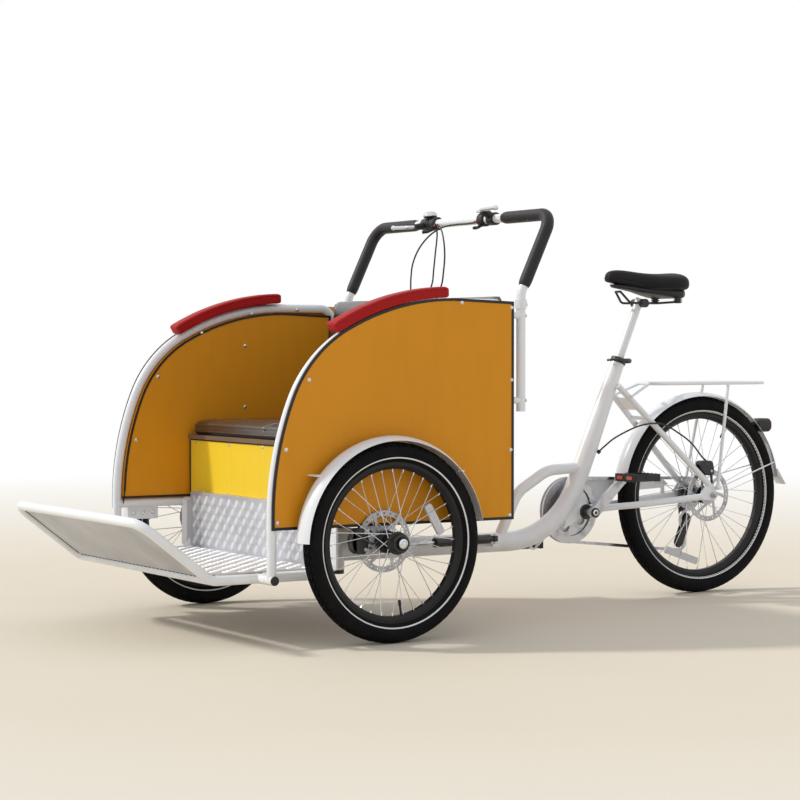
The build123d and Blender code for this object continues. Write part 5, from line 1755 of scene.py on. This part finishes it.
def add_hex_bolt(shape, at, way, radius):
    """Hexagon bolt head on a round washer."""
    size = radius / HEX_R
    for profile, sides in (
        (((9, -0.3), (9, 1.2), (8.4, 1.5)), 20),
        (((7.0, 1.3), (7.0, 4.8), (6.0, 5.8), (2.0, 5.9)), 6),
    ):
        shape.lathe([(r * size, h * size) for r, h in profile], at, way, sides)


def make_kick_flange(side, hand):
    """Sheet-metal strip and white strip between the kick plate and the cabin's side."""
    flange = Shape()
    for y, wide, x, thick in ((399, 0.030, 116.6, 0.0016), (428, 0.032, 112.6, 0.006)):
        outline = rounded(place(x, side * y, 251), LEFT, UP, wide, 0.130, 0.002)
        flange.plate(outline, AHEAD, thick, 0.0005)
        flange.layer = 1
    finished(
        flange, f"kick_flange_{hand}", ("aluminium_sheet", "white_frame"), "carriage",
    )


def make_post_clamp():
    """Clamp round the seat tube's top, with its ears, bolt and quick-release lever."""
    clamp = Shape()
    axis = (SEAT_TUBE_TOP - SEAT_TUBE_MIDDLE).normalized()
    foot = SEAT_TUBE_TOP + axis * 0.0006
    band = ((13.3, 0), (22.6, 0), (23.8, 1.2), (23.8, 14.6), (22.6, 15.8), (13.3, 15.8))
    clamp.lathe(band, foot, axis, 40)
    lug = foot + axis * 0.008 - AHEAD * 0.029
    ears = rounded(lug - LEFT * 0.012, AHEAD, UP, 0.018, 0.015, 0.004)
    clamp.plate(ears, LEFT, 0.024, 0.0012)
    bolt = ((5.6, -22), (7.2, -21), (7.2, -13), (5, -12), (5, 12), (7, 13), (7, 19), (5, 20))
    clamp.lathe(bolt, lug, LEFT, 20)
    lever = (
        # millimetres from the lug: ahead, y, z
        (0, 19, 0), (4, 24, 1), (20, 30, 3), (46, 28, 4), (64, 18, 4), (70, 2, 3),
    )
    route = smooth([lug + Vector(point) / 1000 for point in lever])
    clamp.tube(route, 0.0036, 12, width=1.5)
    finished(clamp, "post_clamp", "black_metal", "rear_frame", stands_for=["seat_clamp"])


def make_rear_lamp():
    """Rear lamp: a black shell with a red lens set in its end."""
    low, high = corners("rear_light")
    sections = (
        # back from the front end, width, height and corner
        (
            (0, 0.040, 0.032, 0.010), (0.004, 0.052, 0.040, 0.012), (0.034, 0.056, 0.043, 0.014),
            (0.050, 0.054, 0.042, 0.015),
        ),
        ((0.050, 0.049, 0.037, 0.013), (0.056, 0.046, 0.034, 0.012), (0.059, 0.038, 0.026, 0.010)),
    )
    lamp = Shape()
    for layer, part in enumerate(sections):
        lamp.layer = layer
        rings = []
        for back, width, height, corner in part:
            at = Vector((high.x - back, 0, (low.z + high.z) / 2))
            rings.append(rounded(at, LEFT, UP, width, height, corner))
        lamp.skin(rings)
    finished(lamp, "rear_lamp", ("black_plastic", "red_lens"), "rear_frame", stands_for=["rear_light"])


class RICKSHAW_OT_fittings(bpy.types.Operator):
    """Add bolts, plugs, the post's clamp, the rear lamp and other small fittings of the frame"""

    bl_idname = "rickshaw.fittings"
    bl_label = "Frame fittings"

    def execute(self, context):
        bolts = Shape()
        for side, _ in SIDES:
            for ahead, z in ((-32, 282), (32, 282), (-32, 236), (32, 236)):
                add_hex_bolt(bolts, place(ahead, side * 468, z), LEFT * side, 6)
        finished(bolts, "carriage_bolts", "chrome", "carriage")
        plugs = Shape()
        for side in (-1, 1):
            end = ((11.6, -1), (11.6, 2.2), (9.8, 3.4), (2, 3.6))
            plugs.lathe(end, place(315, side * 477, 171), LEFT * side, 24)
        finished(plugs, "tube_plugs", "black_plastic", "carriage")
        plate = Shape()
        outline = rounded(place(230, -472.5, 281), AHEAD, UP, 0.095, 0.038, 0.003)
        plate.plate(outline, LEFT, 0.004, 0.0006)
        finished(plate, "bolt_plate", "white_frame", "carriage")
        heads = Shape()
        for ahead in (200, 230, 260):
            add_hex_bolt(heads, place(ahead, -468.5, 281), LEFT, 5)
        finished(heads, "bolt_plate_bolts", "chrome", "carriage")
        for side, hand in SIDES:
            make_kick_flange(side, hand)
        rear = Shape()
        for side, _ in SIDES:
            add_hex_bolt(rear, place(-1443, side * 84.5, 326), LEFT * side, 5)
        finished(rear, "rear_bolts", "chrome", "rear_frame")
        make_post_clamp()
        make_rear_lamp()
        return {"FINISHED"}


# Stage

FLOOR_REACH, FADE_START, FADE_END = 60.0, 2.0, 7.0
# Towards the sun, and the camera as the photograph places it
SUN_WAY = (0.632, -0.470, 0.616)
CAMERA_AT, CAMERA_WAY = (3.528, 5.3573, 0.7524), (-0.52674, -0.84971, -0.023266)
SENSOR_WIDTH, FOCAL_LENGTH = 36.0, 100.3


def make_floor(scene):
    """Pale ground that keeps the shadow and fades to white with the distance."""
    mesh = bpy.data.meshes.new("floor")
    edge = [(x * FLOOR_REACH, y * FLOOR_REACH, 0) for x, y in ((-1, -1), (1, -1), (1, 1), (-1, 1))]
    mesh.from_pydata(edge, [], [(0, 1, 2, 3)])
    floor = bpy.data.objects.new("floor", mesh)
    scene.collection.objects.link(floor)
    ground = Finish("floor_ground")
    colour = tuple(scene.rickshaw_colours.floor)
    across, along = ground.axis("X"), ground.axis("Y")
    far = ((across * across + along * along) ** 0.5).between(FADE_START, FADE_END)
    ground.surface(
        Base_Color=ground.mix(ground.noise(2.4, 6.0), shade(colour, 0.96), colour),
        Roughness=0.75 + ground.noise(30.0) * 0.1,
    )
    glow = ground.node("ShaderNodeEmission", sockets={"Color": (1.0, 1.0, 1.0), "Strength": 1.0})
    body = Value(ground, ground.shader.outputs[0])
    both = ground.node("ShaderNodeMixShader", sockets={0: far * ground.looked_at(), 1: body, 2: glow})
    ground.feed(ground.tree.nodes["Material Output"].inputs["Surface"], both)
    mesh.materials.append(ground.material)


def make_sky(scene):
    """Soft bluish light all round, seen as plain white."""
    scene.world = bpy.data.worlds.new("soft_sky")
    sky = Nodes(scene.world)
    light = sky.tree.nodes["Background"]
    sky.feed(light.inputs["Color"], (0.94, 0.965, 1.0))
    sky.feed(light.inputs["Strength"], 0.7)
    white = sky.node("ShaderNodeBackground", sockets={"Color": (1.0, 1.0, 1.0), "Strength": 1.0})
    soft = Value(sky, light.outputs[0])
    both = sky.node("ShaderNodeMixShader", sockets={0: sky.looked_at(), 1: soft, 2: white})
    sky.feed(sky.tree.nodes["World Output"].inputs["Surface"], both)


def make_sun(scene):
    """Warm, slightly soft sun from the front right."""
    lamp = bpy.data.lights.new("sun", "SUN")
    lamp.energy = 1.9
    lamp.angle = radians(5)
    lamp.color = (1.0, 0.97, 0.91)
    sun = bpy.data.objects.new("sun", lamp)
    sun.rotation_euler = Vector(SUN_WAY).to_track_quat("Z", "Y").to_euler()
    scene.collection.objects.link(sun)


def make_camera(scene):
    """Camera where the photograph was taken from."""
    optics = bpy.data.cameras.new("camera")
    optics.sensor_width = SENSOR_WIDTH
    optics.lens = FOCAL_LENGTH
    camera = bpy.data.objects.new("camera", optics)
    camera.location = CAMERA_AT
    camera.rotation_euler = Vector(CAMERA_WAY).to_track_quat("-Z", "Y").to_euler()
    scene.collection.objects.link(camera)
    scene.camera = camera


class RICKSHAW_OT_stage(bpy.types.Operator):
    """Set up the pale floor, soft light and the camera"""

    bl_idname = "rickshaw.stage"
    bl_label = "Stage"

    def execute(self, context):
        context.scene.view_settings.view_transform = "Standard"
        make_floor(context.scene)
        make_sky(context.scene)
        make_sun(context.scene)
        make_camera(context.scene)
        return {"FINISHED"}


OPERATORS = (
    RICKSHAW_OT_frame,
    RICKSHAW_OT_tyres,
    RICKSHAW_OT_wheels,
    RICKSHAW_OT_cabin,
    RICKSHAW_OT_tread_plates,
    RICKSHAW_OT_cushion,
    RICKSHAW_OT_backrest,
    RICKSHAW_OT_armrests,
    RICKSHAW_OT_saddle,
    RICKSHAW_OT_grips,
    RICKSHAW_OT_controls,
    RICKSHAW_OT_brakes,
    RICKSHAW_OT_drive,
    RICKSHAW_OT_fittings,
    RICKSHAW_OT_stage,
)


class RICKSHAW_PT_panel(bpy.types.Panel):
    """Lists the rickshaw's pieces and settings"""

    bl_idname = "RICKSHAW_PT_panel"
    bl_label = "Cycle rickshaw"
    bl_space_type = "VIEW_3D"
    bl_region_type = "UI"
    bl_category = "Rickshaw"

    def draw(self, context):
        for group in (context.scene.rickshaw_colours, context.scene.rickshaw_sizes):
            box = self.layout.box()
            for key in group.__annotations__:
                box.prop(group, key)
        for operator in OPERATORS:
            self.layout.operator(operator.bl_idname)


CLASSES = (RickshawColours, RickshawSizes, *OPERATORS, RICKSHAW_PT_panel)


def register():
    for item in CLASSES:
        bpy.utils.register_class(item)
    bpy.types.Scene.rickshaw_colours = PointerProperty(type=RickshawColours)
    bpy.types.Scene.rickshaw_sizes = PointerProperty(type=RickshawSizes)


def unregister():
    del bpy.types.Scene.rickshaw_sizes
    del bpy.types.Scene.rickshaw_colours
    for item in reversed(CLASSES):
        bpy.utils.unregister_class(item)


def main():
    """Dresses the frame piece by piece."""
    register()
    for operator in OPERATORS:
        name = operator.bl_idname.split(".")[1]
        getattr(bpy.ops.rickshaw, name)()


if __name__ == "__main__":
    main()
